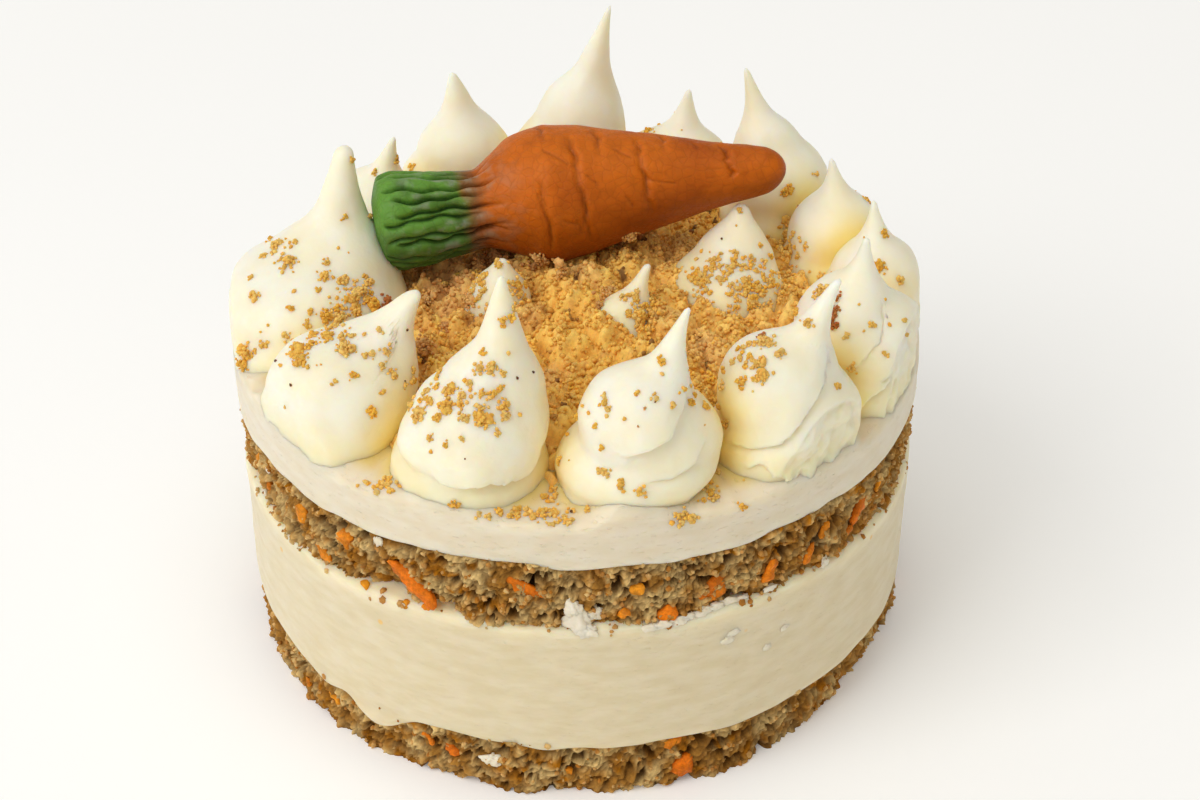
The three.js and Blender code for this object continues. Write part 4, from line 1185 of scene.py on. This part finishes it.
def add_crumb_bed(material):
    """The heap of crumbs: a dome with the relief of clumps and grains, and loose grains all over it."""
    x, y = disc_net()
    plain = np.stack([x, y, bed_height(x, y)], -1)
    warped = plain + 0.5 * np.stack([noise(plain / 1.5 + shift) for shift in (31, 57, 83)], -1)
    clump = pebbles(warped, 4.8, 5.0)
    lump = pebbles(warped, 2.1, 7.0)
    nearest, second, tag = scattered_cells(warped, 0.8, 9.0)
    grain = np.sqrt(np.clip((second - nearest) / 0.5, 0, 1))
    relief = 0.5 * rough(plain, 8.0, 19) + 2.6 * (clump - LEVEL) + 1.4 * (lump - LEVEL) + 0.3 * (grain - LEVEL)
    relief = relief + 0.1 * noise(plain / 0.45 + 13)
    top = plain + np.stack([0.2 * noise(plain / 0.8 + 3), 0.2 * noise(plain / 0.8 + 9), relief], -1)
    # Painted shade in the creases between clumps, lumps and grains.
    cavity = np.clip(0.4 + 0.25 * clump + 0.3 * lump + 0.35 * grain, 0, 1)
    # Painted highlights: the tops of the clumps are paler.
    tint = mixed(crumb_tint(plain, tag, cavity, 71), CRUMB_PALE, 0.6 * smooth_step(clump * lump, 0.35, 0.85))
    points, faces = footed(top, CREAM_TOP - KISS_SINK)
    tint = tint.reshape(-1, 3)
    tint = np.concatenate([tint, np.tile(GOLDEN, (len(points) - len(tint), 1))])
    draw = np.random.default_rng(SEED + 3)
    open_tint = crumb_tint(plain, tag, np.ones_like(cavity), 71)
    grains = heap_grains(top.reshape(-1, 3), open_tint.reshape(-1, 3), draw)
    points, faces, tint = joined([(points, faces, tint), grain_mesh(grains, 1, draw)])
    return add_piece("crumb_bed", points, faces, material, "cookie_crumb", ["crumb_heap"], tint)


def heap_grains(top, tint, draw):
    """Grains all over the open part of the heap, as (place, size, tone) each."""
    out = np.hypot(top[:, 0], top[:, 1])
    seen = np.flatnonzero((out < OPEN_BED) & (gap_to_kisses(top) > -0.3))
    chosen = draw.choice(seen, BED_GRAINS, replace=False)
    sizes = draw.uniform(0.4, 0.85, BED_GRAINS)
    places = top[chosen] + draw.uniform(-0.1, 0.1, (BED_GRAINS, 3)) + (0, 0, 0.12)
    return list(zip(places, sizes, tint[chosen] * draw.uniform(0.78, 1.1, (BED_GRAINS, 1))))


def ball(level):
    """Points and faces of a ball of triangles, radius 1."""
    made = bmesh.new()
    bmesh.ops.create_icosphere(made, subdivisions=level, radius=1)
    made.verts.ensure_lookup_table()
    points = np.array([vertex.co for vertex in made.verts])
    faces = np.array([[vertex.index for vertex in face.verts] for face in made.faces])
    made.free()
    return points, faces


BALLS = {level: ball(level) for level in (1, 2, 3, 4)}
# How far the knobs of a grain stand in and out, against its radius.
KNOB_LOW = 0.68
KNOB_HIGH = 1.22
# Crumbs smaller than SINGLE_GRAIN are one grain, and grains smaller than FINE_GRAIN are coarser meshes.
SINGLE_GRAIN = 0.7
FINE_GRAIN = 0.7


def grain_mesh(grains, level, draw):
    """Knobbly grains, each given as (place, size in mm, tone), as one (points, faces, tint)."""
    points, faces = BALLS[level]
    count = len(grains)
    places, sizes, tones = (np.array(values) for values in zip(*grains))
    turns, _ = np.linalg.qr(draw.normal(size=(count, 3, 3)))
    turns = turns * np.sign(np.linalg.det(turns))[:, None, None]
    knobs = draw.uniform(KNOB_LOW, KNOB_HIGH, (count, len(points), 1))
    shaped = points * knobs * draw.uniform(0.7, 1.15, (count, 1, 3)) @ turns
    placed = places[:, None] + 0.5 * sizes[:, None, None] * shaped
    numbered = faces + len(points) * np.arange(count)[:, None, None]
    high = (knobs[..., 0] - KNOB_LOW) / (KNOB_HIGH - KNOB_LOW)
    # Painted shade where a knob of the grain stands in.
    tint = mixed(tones[:, None] * HOLLOW_SHADE, tones[:, None], 0.45 + 0.55 * high)
    return placed.reshape(-1, 3), numbered.reshape(-1, 3), np.clip(tint, 0, 1).reshape(-1, 3)


def crumb_cluster(place, normal, size, tone, draw):
    """A crumb, pressed a little into what it lies on: a few lumps under a low heap of grains. Gives (place,
    size, tone) of each."""
    if size < SINGLE_GRAIN:
        return [(place + 0.1 * size * normal, size, tone)]
    side = np.cross(normal, draw.normal(size=3))
    side = side / np.linalg.norm(side)
    other = np.cross(normal, side)
    grains = []
    for _ in range(1 + int(size)):
        along, across = size * draw.normal(0, 0.13, 2)
        grains.append((place + along * side + across * other, size * draw.uniform(0.42, 0.6), tone))
    for _ in range(int(4 + 6.5 * size**2)):
        along, across = draw.normal(0, 0.22, 2)
        high = 0.34 * max(0.0, 1 - 6 * (along**2 + across**2)) * draw.uniform(0.3, 1.0)
        offset = size * (along * side + across * other + high * normal)
        grains.append((place + offset, draw.uniform(0.3, 0.56), tone * draw.uniform(0.9, 1.08)))
    return grains


# Crumbs on the piped cream that show from the front, as (x, y, size in mm), in pixels of the picture.
GOLDEN_CRUMBS = (
    (297, 350, 2.4), (299, 362, 2.2), (346, 349, 2.5), (326, 337, 2.0), (310, 345, 1.3), (286, 336, 1.2),
    (247, 352, 2.2), (243, 364, 1.9), (263, 344, 1.1), (253, 296, 1.5), (277, 245, 1.6), (290, 261, 1.9),
    (263, 256, 1.0), (282, 227, 1.1), (231, 265, 1.0), (291, 309, 0.9), (327, 263, 1.0), (325, 276, 1.6),
    (317, 291, 0.8), (345, 217, 0.8), (369, 216, 1.0), (345, 279, 1.3), (370, 282, 1.4), (359, 292, 2.4),
    (354, 301, 2.0), (372, 304, 2.4), (325, 316, 2.0), (338, 318, 2.1), (355, 312, 2.0), (268, 325, 0.5),
    (308, 320, 0.5), (281, 366, 0.6), (285, 407, 0.5), (353, 375, 1.0), (372, 411, 1.5), (383, 392, 0.8),
    (379, 330, 0.9), (373, 355, 1.1), (386, 351, 1.3), (381, 365, 1.1), (365, 355, 0.8), (393, 375, 1.2),
    (419, 415, 2.2), (446, 406, 2.1), (438, 418, 1.4), (464, 418, 1.2), (482, 421, 2.0), (430, 437, 0.8),
    (446, 444, 0.8), (462, 439, 0.7), (431, 452, 0.6), (503, 321, 1.1), (512, 318, 1.0), (482, 352, 0.9),
    (508, 353, 0.6), (479, 369, 1.4), (490, 366, 1.7), (503, 374, 0.7), (493, 393, 1.2), (504, 405, 1.5),
    (505, 415, 1.3), (498, 433, 0.8), (455, 504, 1.2), (470, 382, 1.0), (462, 396, 1.2), (452, 388, 1.6),
    (430, 402, 1.2), (661, 360, 1.2), (662, 374, 0.6), (604, 395, 0.8), (605, 403, 0.9), (608, 410, 0.9),
    (589, 413, 0.6), (595, 425, 0.7), (625, 419, 0.6), (637, 393, 0.8), (655, 399, 1.0), (602, 448, 0.8),
    (560, 461, 1.0), (602, 471, 1.1), (607, 475, 0.9), (621, 484, 1.3), (639, 491, 1.4), (588, 509, 0.9),
    (691, 403, 1.1), (705, 407, 1.1), (823, 291, 2.3), (797, 312, 1.1), (808, 323, 1.3), (763, 342, 2.0),
    (759, 364, 1.9), (762, 376, 1.7), (780, 353, 1.4), (742, 382, 1.5), (711, 380, 1.4), (723, 387, 1.3),
    (741, 358, 0.9), (706, 406, 0.9), (719, 406, 0.7), (726, 423, 1.2), (851, 368, 1.2), (872, 325, 0.9),
    (864, 331, 0.5), (846, 335, 0.8), (837, 387, 1.0), (904, 321, 0.7), (906, 335, 0.8), (885, 353, 0.7),
    (742, 507, 1.0), (867, 200, 0.9), (885, 234, 1.2), (787, 191, 1.8), (789, 222, 2.2), (878, 265, 2.0),
    (900, 279, 1.3), (739, 211, 0.8), (797, 130, 1.3), (655, 125, 1.8), (648, 131, 1.3), (482, 97, 1.2),
    (352, 160, 0.9), (375, 172, 0.9), (396, 160, 1.0), (412, 166, 1.2),
)
BROWN_CRUMBS = (
    (605, 297, 2.6), (612, 290, 1.8), (600, 305, 1.7), (630, 236, 2.2), (624, 242, 1.8),
    (490, 262, 2.4), (500, 257, 2.0), (480, 268, 2.2), (542, 258, 2.6), (534, 264, 2.0), (616, 246, 2.6),
    (642, 240, 2.2), (430, 300, 2.8), (446, 330, 2.6), (470, 300, 2.4), (424, 345, 2.4), (560, 270, 2.6),
)
RUSSET_CRUMBS = (
    (836, 300, 1.7), (833, 312, 1.7), (832, 323, 1.9), (762, 338, 1.4), (388, 302, 1.7), (384, 306, 1.1),
)
DARK_SPECKS = (
    (276, 361, 0.6), (291, 385, 0.6), (407, 330, 0.45), (405, 381, 0.4), (517, 378, 0.55), (533, 372, 0.55),
    (572, 512, 0.8), (722, 239, 0.7), (478, 420, 0.45), (655, 402, 0.35), (465, 459, 0.35), (681, 525, 0.5),
)
# Heaps of fine crumbs by the feet of the front kisses: (x, y, half width, half height, how many).
CRUMB_PATCHES = (
    (388, 485, 22, 7, 26), (535, 513, 42, 6, 48), (556, 520, 22, 5, 20), (686, 519, 11, 8, 20),
    (552, 497, 9, 7, 16), (712, 490, 9, 11, 20), (420, 385, 18, 26, 34), (575, 395, 12, 26, 26),
    (735, 340, 26, 34, 60), (700, 380, 14, 16, 30), (790, 250, 14, 22, 40), (345, 300, 26, 18, 40),
    (735, 266, 32, 18, 60), (778, 284, 26, 16, 80), (702, 278, 14, 18, 50), (478, 285, 9, 14, 40),
    (520, 290, 8, 14, 34), (490, 262, 14, 5, 16), (632, 298, 10, 7, 20), (655, 300, 8, 6, 16),
    (330, 330, 30, 8, 26), (480, 400, 26, 18, 26), (283, 255, 22, 16, 20), (642, 312, 12, 9, 50),
    (646, 326, 9, 7, 30), (748, 292, 22, 12, 50),
)
# Crumbs that fell from above: how many, the radius they fell in, least and greatest size, and how level the
# place has to be, 1 for flat. Then where they start, how high on a kiss they stay, and the share not brown.
HEAP_FALL = (70, 27, 0.7, 2.4, 0.3)
WIDE_FALL = (170, 38, 0.3, 1.0, 0.35)
FALL_START = 90
CRUMB_CEILING = 12.0
GOLDEN_SHARE = 0.94


def pick_tone(draw):
    return mixed(CRUMB_YELLOW, CRUMB_PALE, draw.uniform(0, 1)) * draw.uniform(0.92, 1.0)


def crumbs_by_pixel(tree, draw):
    """The crumbs that were placed one by one, and the patches of fine ones, seen by the picture's camera."""
    grains = []

    def put(x, y, size, tone):
        place, normal = hit_at_pixel(tree, x, y)
        if place is not None and place[2] > SPONGE_TOP:
            grains.extend(crumb_cluster(place, normal, size, tone, draw))

    for x, y, size in GOLDEN_CRUMBS:
        put(x, y, size, pick_tone(draw))
    for x, y, size in BROWN_CRUMBS:
        put(x, y, size, mixed(BROWN, TAN, draw.uniform(0, 1)))
    for x, y, size in RUSSET_CRUMBS:
        put(x, y, size, mixed(BROWN, RUSSET, draw.uniform(0.4, 1)))
    for x, y, size in DARK_SPECKS:
        put(x, y, 0.7 * size, SPECK)
    for x, y, half_width, half_height, count in CRUMB_PATCHES:
        for _ in range(count):
            across, down = draw.normal(0, 0.55, 2)
            put(x + across * half_width, y + down * half_height, draw.uniform(0.35, 0.85), pick_tone(draw))
    return grains


def crumbs_from_above(tree, draw, count, reach, low, high, steepest):
    """Crumbs that fell on the cake, at random in a circle, larger ones rarer, none on the drawn-out tips."""
    grains = []
    fallen = 0
    while fallen < count:
        out = reach * math.sqrt(draw.uniform())
        angle = draw.uniform(0, 2 * math.pi)
        origin = (out * math.cos(angle), out * math.sin(angle), FALL_START)
        size = low + (high - low) * draw.uniform() ** 3
        tone = pick_tone(draw) if draw.uniform() < GOLDEN_SHARE else BROWN
        place, normal = nearest_hit(tree, origin, (0, 0, -1))
        if place is None or normal[2] < steepest or place[2] > CREAM_TOP + CRUMB_CEILING:
            continue
        grains.extend(crumb_cluster(place, normal, size, tone, draw))
        fallen += 1
    return grains


def add_loose_crumbs(cream, bed, carrot, material):
    draw = np.random.default_rng(SEED)
    every = tree_of([*cream, bed, carrot])
    soft = tree_of([*cream, bed])
    grains = crumbs_by_pixel(every, draw)
    grains += crumbs_from_above(tree_of([bed]), draw, *HEAP_FALL)
    grains += crumbs_from_above(soft, draw, *WIDE_FALL)
    fine = [grain for grain in grains if grain[1] < FINE_GRAIN]
    coarse = [grain for grain in grains if grain[1] >= FINE_GRAIN]
    points, faces, tint = joined([grain_mesh(fine, 1, draw), grain_mesh(coarse, 2, draw)])
    add_piece("loose_crumbs", points, faces, material, "cookie_crumb", (), tint)


# ------------------------------------------------------------------ carrot shreds and cream smears
SHRED_ORANGE = colour(232, 120, 8)
SHRED_YELLOW = colour(230, 158, 34)
SHRED_RUST = colour(206, 100, 22)
# Shreds in the sponge that show from the front: x and y in pixels, length and width in mm, tilt in degrees, and
# how yellow from 0 to 1.
SHREDS = (
    (270, 485, 1.6, 1.1, 80, 0.4), (301, 513, 2.6, 1.5, 80, 0.7), (346, 539, 2.4, 1.9, 60, 0.5),
    (325, 551, 2.9, 1.4, -42, 0.5), (412, 584, 7.2, 1.9, -38, 0.1), (366, 584, 1.0, 0.8, 20, 0.8),
    (405, 603, 1.2, 0.9, 30, 1.0), (426, 609, 1.2, 0.9, 0, 0.6), (259, 458, 2.2, 1.2, 60, 0.7),
    (525, 587, 5.0, 1.4, -27, 0.1), (637, 589, 1.7, 1.2, 10, 0.8), (623, 613, 1.5, 1.1, 40, 0.5),
    (667, 613, 2.3, 1.7, 35, 0.1), (712, 587, 4.3, 1.5, 48, 0.1), (716, 592, 2.8, 1.2, 35, 0.3),
    (857, 509, 3.8, 1.7, 62, 0.1), (825, 530, 2.2, 1.2, 50, 0.6), (809, 553, 2.7, 1.1, 58, 0.3),
    (769, 571, 3.1, 1.3, 62, 0.2), (720, 582, 1.7, 1.2, 60, 0.1), (878, 482, 2.2, 1.3, 60, 0.7),
    (847, 532, 1.8, 1.0, 30, 0.4), (428, 738, 2.0, 1.0, -45, 0.2), (453, 748, 2.4, 1.2, -50, 0.0),
    (310, 686, 2.4, 1.2, -60, 0.5), (335, 698, 2.2, 1.1, -40, 0.9), (680, 763, 3.2, 2.4, 30, 0.0),
    (672, 741, 2.4, 1.2, 15, 0.4), (811, 717, 3.2, 2.0, 30, 0.0), (566, 770, 1.6, 1.0, 0, 0.8),
)
# Shreds round the back, and the angles that they lie between.
HIDDEN_SHREDS = 46
HIDDEN_FROM = -5
HIDDEN_TO = 185
SHRED_ROWS = 12
SHRED_COLUMNS = 10
# Cream smeared on the sides: x and y in pixels, width, height and thickness in mm.
SMEARS = (
    (580, 622, 3.2, 4.4, 1.1), (573, 608, 1.8, 2.2, 1.0), (592, 612, 2.0, 1.8, 0.9), (586, 632, 2.6, 1.6, 0.8),
    (652, 628, 2.0, 1.0, 0.6), (664, 625, 2.2, 1.1, 0.7), (677, 621, 2.2, 1.2, 0.7), (690, 616, 2.2, 1.1, 0.7),
    (703, 612, 2.2, 1.3, 0.7), (716, 607, 2.0, 1.1, 0.6), (728, 602, 2.0, 1.0, 0.6), (742, 598, 1.6, 0.9, 0.5),
    (727, 640, 1.3, 1.0, 0.5), (823, 563, 1.4, 1.9, 0.8), (767, 647, 1.2, 0.9, 0.4), (735, 632, 1.8, 0.8, 0.4),
    (770, 588, 1.6, 1.0, 0.5), (784, 628, 1.2, 0.7, 0.4), (492, 759, 2.1, 1.6, 1.1), (266, 493, 0.9, 0.9, 0.5),
    (268, 470, 1.0, 0.8, 0.4), (378, 541, 1.2, 1.4, 0.6),
)
# Smears that cover more square mm than this get a finer mesh.
LARGE_SMEAR = 3
# Grains on the torn sides of the upper and the lower sponge.
UPPER_BITS = 900
BASE_BITS = 450
# Bits of sponge round the cake under the edges of the layers: height in mm, and how many.
BIT_RINGS = ((FILLING_TOP - 0.25, 150), (BASE_TOP, 40), (0.7, 90))


def side_frame(place):
    """Directions on the side of the cake at a place: along it, up, and out."""
    out = np.array([place[0], place[1], 0]) / math.hypot(place[0], place[1])
    return np.cross((0, 0, 1), out), np.array([0, 0, 1.0]), out


def shred(place, length, width, tilt, tone, draw):
    """A bent strip of grated carrot, bedded in the side at that place."""
    across, up, out = side_frame(place)
    run = across * math.cos(tilt) + up * math.sin(tilt)
    cross = up * math.cos(tilt) - across * math.sin(tilt)
    angle, share = side_surface(np.linspace(0, 1, SHRED_ROWS), SHRED_COLUMNS)
    taper = np.sqrt(np.clip(1 - np.abs(2 * share - 1) ** 3.0, 0.02, 1))
    squared = np.maximum(np.abs(np.cos(angle)), np.abs(np.sin(angle))) ** -0.7
    bow = draw.uniform(-0.12, 0.12) * length * (1 - (2 * share - 1) ** 2)
    offset_run = (share - 0.5) * length
    offset_cross = 0.5 * width * taper * squared * np.cos(angle) + bow
    offset_out = 0.5 * max(0.6, 0.5 * width) * taper * squared * np.sin(angle) - 0.05
    rings = place + offset_run[..., None] * run + offset_cross[..., None] * cross + offset_out[..., None] * out
    jitter = 0.28 * noise(rings / 0.9 + 5) + 0.14 * noise(rings / 0.4 + 9)
    rings = rings + jitter[..., None] * out + (jitter * np.cos(angle))[..., None] * cross
    points, faces = loft(rings)
    tint = tone * (0.95 + 0.3 * noise(points / 0.8 + 3))[:, None]
    return points, faces[:, ::-1] if np.cross(run, cross) @ out < 0 else faces, np.clip(tint, 0, 1)


def shred_tone(yellow, draw):
    tone = mixed(SHRED_ORANGE, SHRED_YELLOW, yellow)
    return mixed(tone, SHRED_RUST, draw.uniform(0, 0.35))


def add_shreds(side_tree, material):
    draw = np.random.default_rng(SEED + 1)
    parts = []
    for x, y, length, width, tilt, yellow in SHREDS:
        place, _ = hit_at_pixel(side_tree, x, y)
        if place is not None:
            parts.append(shred(place, length, width, math.radians(tilt), shred_tone(yellow, draw), draw))
    for number in range(HIDDEN_SHREDS):
        angle = math.radians(draw.uniform(HIDDEN_FROM, HIDDEN_TO))
        upper = number % 3 != 0
        height = draw.uniform(FILLING_TOP + 1, SPONGE_TOP - 1) if upper else draw.uniform(1.2, BASE_TOP - 1)
        place, _ = hit_from_outside(side_tree, angle, height)
        length = draw.uniform(1.3, 2.5) + 3.5 * draw.uniform() ** 4
        width = draw.uniform(0.9, 1.6)
        tone = shred_tone(draw.uniform(0, 1), draw)
        parts.append(shred(place, length, width, draw.uniform(-1.4, 1.4), tone, draw))
    points, faces, tint = joined(parts)
    add_piece("carrot_shreds", points, faces, material, "carrot_sponge", (), tint)


def add_smears(side_tree, material):
    parts = []
    for x, y, width, height, thickness in SMEARS:
        points, faces = BALLS[4 if width * height > LARGE_SMEAR else 3]
        place, _ = hit_at_pixel(side_tree, x, y)
        across, up, out = side_frame(place)
        swell = 1 + 0.35 * noise(points * 1.3 + x) + 0.3 * noise(points * 2.9 + y)
        swell = swell + 0.15 * noise(points * 6.0 + y)
        scaled = points * swell[:, None] * (width / 2, height / 2, 0.5 * thickness)
        shaped = place + scaled[:, :1] * across + scaled[:, 1:2] * up + scaled[:, 2:] * out
        parts.append((shaped, faces, np.ones((len(points), 3))))
    points, faces, _ = joined(parts)
    add_piece("cream_smears", points, faces, material, "cream_filling")


def add_sponge_bits(side_tree, perched, material):
    """Grains that stand out of the torn sides of the sponge, and bits of it under the edges of the layers."""
    draw = np.random.default_rng(SEED + 2)
    grains = []

    def tone():
        return mixed(SPONGE_GRAIN, SPONGE_OLIVE, draw.uniform(0, 0.9)) * draw.uniform(0.75, 1.0)

    for perches, count in perched:
        for place in draw.choice(perches, count, replace=False):
            inward = 0.12 * place * (1, 1, 0) / math.hypot(place[0], place[1])
            grains.append((place - inward, draw.uniform(0.4, 0.85), tone()))
    for edge, count in BIT_RINGS:
        for _ in range(count):
            angle = draw.uniform(0, 2 * math.pi)
            height = max(0.6, edge + draw.normal(0, 0.45))
            place, normal = hit_from_outside(side_tree, angle, height)
            size = 0.4 + 0.7 * draw.uniform() ** 2
            grains.append((place - normal * 0.1 * size, size, tone()))
    points, faces, tint = grain_mesh(grains, 1, draw)
    points[:, 2] = np.maximum(points[:, 2], 0.02)
    add_piece("sponge_bits", points, faces, material, "carrot_sponge", (), tint)


# ------------------------------------------------------------------ stage
WORLD_LEFT = np.array([0.65, 0.65, 0.65])
WORLD_RIGHT = np.array([0.36, 0.335, 0.275])
# Lights: name, place and size in metres, power in watts. They point at the middle of the cake.
LIGHTS = (("key", (-1.15, -0.85, 1.3), 1.2, 13.6), ("top", (0.0, -0.3, 1.5), 1.4, 6.0))
LIGHT_TARGET = (0, 0, 0.03)
FLOOR_SIZE = 6
FLOOR_GLOW = 0.1
FLOOR_GREY = colour(247, 247, 246)
FLOOR_WHITE = colour(251, 251, 250)


def add_camera():
    """The camera that the photo was taken with, as fitted."""
    data = bpy.data.cameras.new("camera")
    data.sensor_width = SENSOR
    data.lens = LENS
    camera = bpy.data.objects.new("camera", data)
    camera.location = CAMERA_PLACE * MM
    camera.rotation_euler = (math.pi / 2 - CAMERA_TILT, 0, 0)
    bpy.context.scene.collection.objects.link(camera)
    bpy.context.scene.camera = camera


def add_light(name, place, size, power):
    """A soft square light, turned to the cake."""
    data = bpy.data.lights.new(name, "AREA")
    data.size = size
    data.energy = power
    light = bpy.data.objects.new(name, data)
    light.location = place
    light.rotation_euler = (Vector(LIGHT_TARGET) - Vector(place)).to_track_quat("-Z", "Y").to_euler()
    bpy.context.scene.collection.objects.link(light)


def add_stage():
    """Pale floor, surroundings that are dimmer and warmer on the right, and soft lights from the upper left
    and from above."""
    bpy.ops.mesh.primitive_plane_add(size=FLOOR_SIZE, location=(0, 0, 0))
    floor = bpy.context.object
    floor.name = "floor"
    look = Look("floor", Roughness=0.9)
    base = look.blend(look.mottled(400.0), FLOOR_GREY, FLOOR_WHITE)
    look.shader.inputs["Emission Color"].default_value = (1, 1, 1, 1)
    look.shader.inputs["Emission Strength"].default_value = FLOOR_GLOW
    floor.data.materials.append(look.finish(base))
    world = bpy.data.worlds.new("studio")
    world.use_nodes = True
    tree = world.node_tree
    background = tree.nodes["Background"]
    direction = tree.nodes.new("ShaderNodeTexCoord")
    split = tree.nodes.new("ShaderNodeSeparateXYZ")
    fade = tree.nodes.new("ShaderNodeVectorMath")
    fade.operation = "MULTIPLY_ADD"
    fade.inputs[1].default_value = (WORLD_RIGHT - WORLD_LEFT) / 2
    fade.inputs[2].default_value = (WORLD_RIGHT + WORLD_LEFT) / 2
    tree.links.new(direction.outputs["Generated"], split.inputs["Vector"])
    tree.links.new(split.outputs["X"], fade.inputs[0])
    tree.links.new(fade.outputs["Vector"], background.inputs["Color"])
    bpy.context.scene.world = world
    for light in LIGHTS:
        add_light(*light)
    bpy.context.scene.view_settings.view_transform = "Standard"


# ------------------------------------------------------------------ assembly
add_camera()
add_stage()

bed_material = crumb_look("crumb_bed", 0.2, 0.4)
crumb_material = crumb_look("cookie_crumb", 0.3, 0.5)
sponge_material = sponge_look()
piped_material = piped_cream_look()
filling_material = smooth_cream_look("cream_filling", FILLING_WHITE, FILLING_YELLOW, 0.3, specks=True)
top_material = smooth_cream_look("top_cream", TOP_WHITE, TOP_YELLOW, 0.6, specks=False)

base_sponge, base_perches = add_sponge("sponge_base", BASE_SPONGE, ["base_sponge"], sponge_material)
upper_sponge, upper_perches = add_sponge("sponge_upper", UPPER_SPONGE, ["upper_sponge"], sponge_material)
filling = add_filling(filling_material)
top_cream = add_top_cream(top_material)
kisses = [add_kiss(name, kiss, piped_material) for name, kiss in KISSES.items()]
carrot = add_carrot(marzipan_look())
bed = add_crumb_bed(bed_material)
add_loose_crumbs([*kisses, top_cream], bed, carrot, crumb_material)
side = tree_of([base_sponge, upper_sponge, filling, top_cream])
add_shreds(side, shred_look())
add_smears(side, smear_look())
add_sponge_bits(side, ((upper_perches, UPPER_BITS), (base_perches, BASE_BITS)), sponge_material)
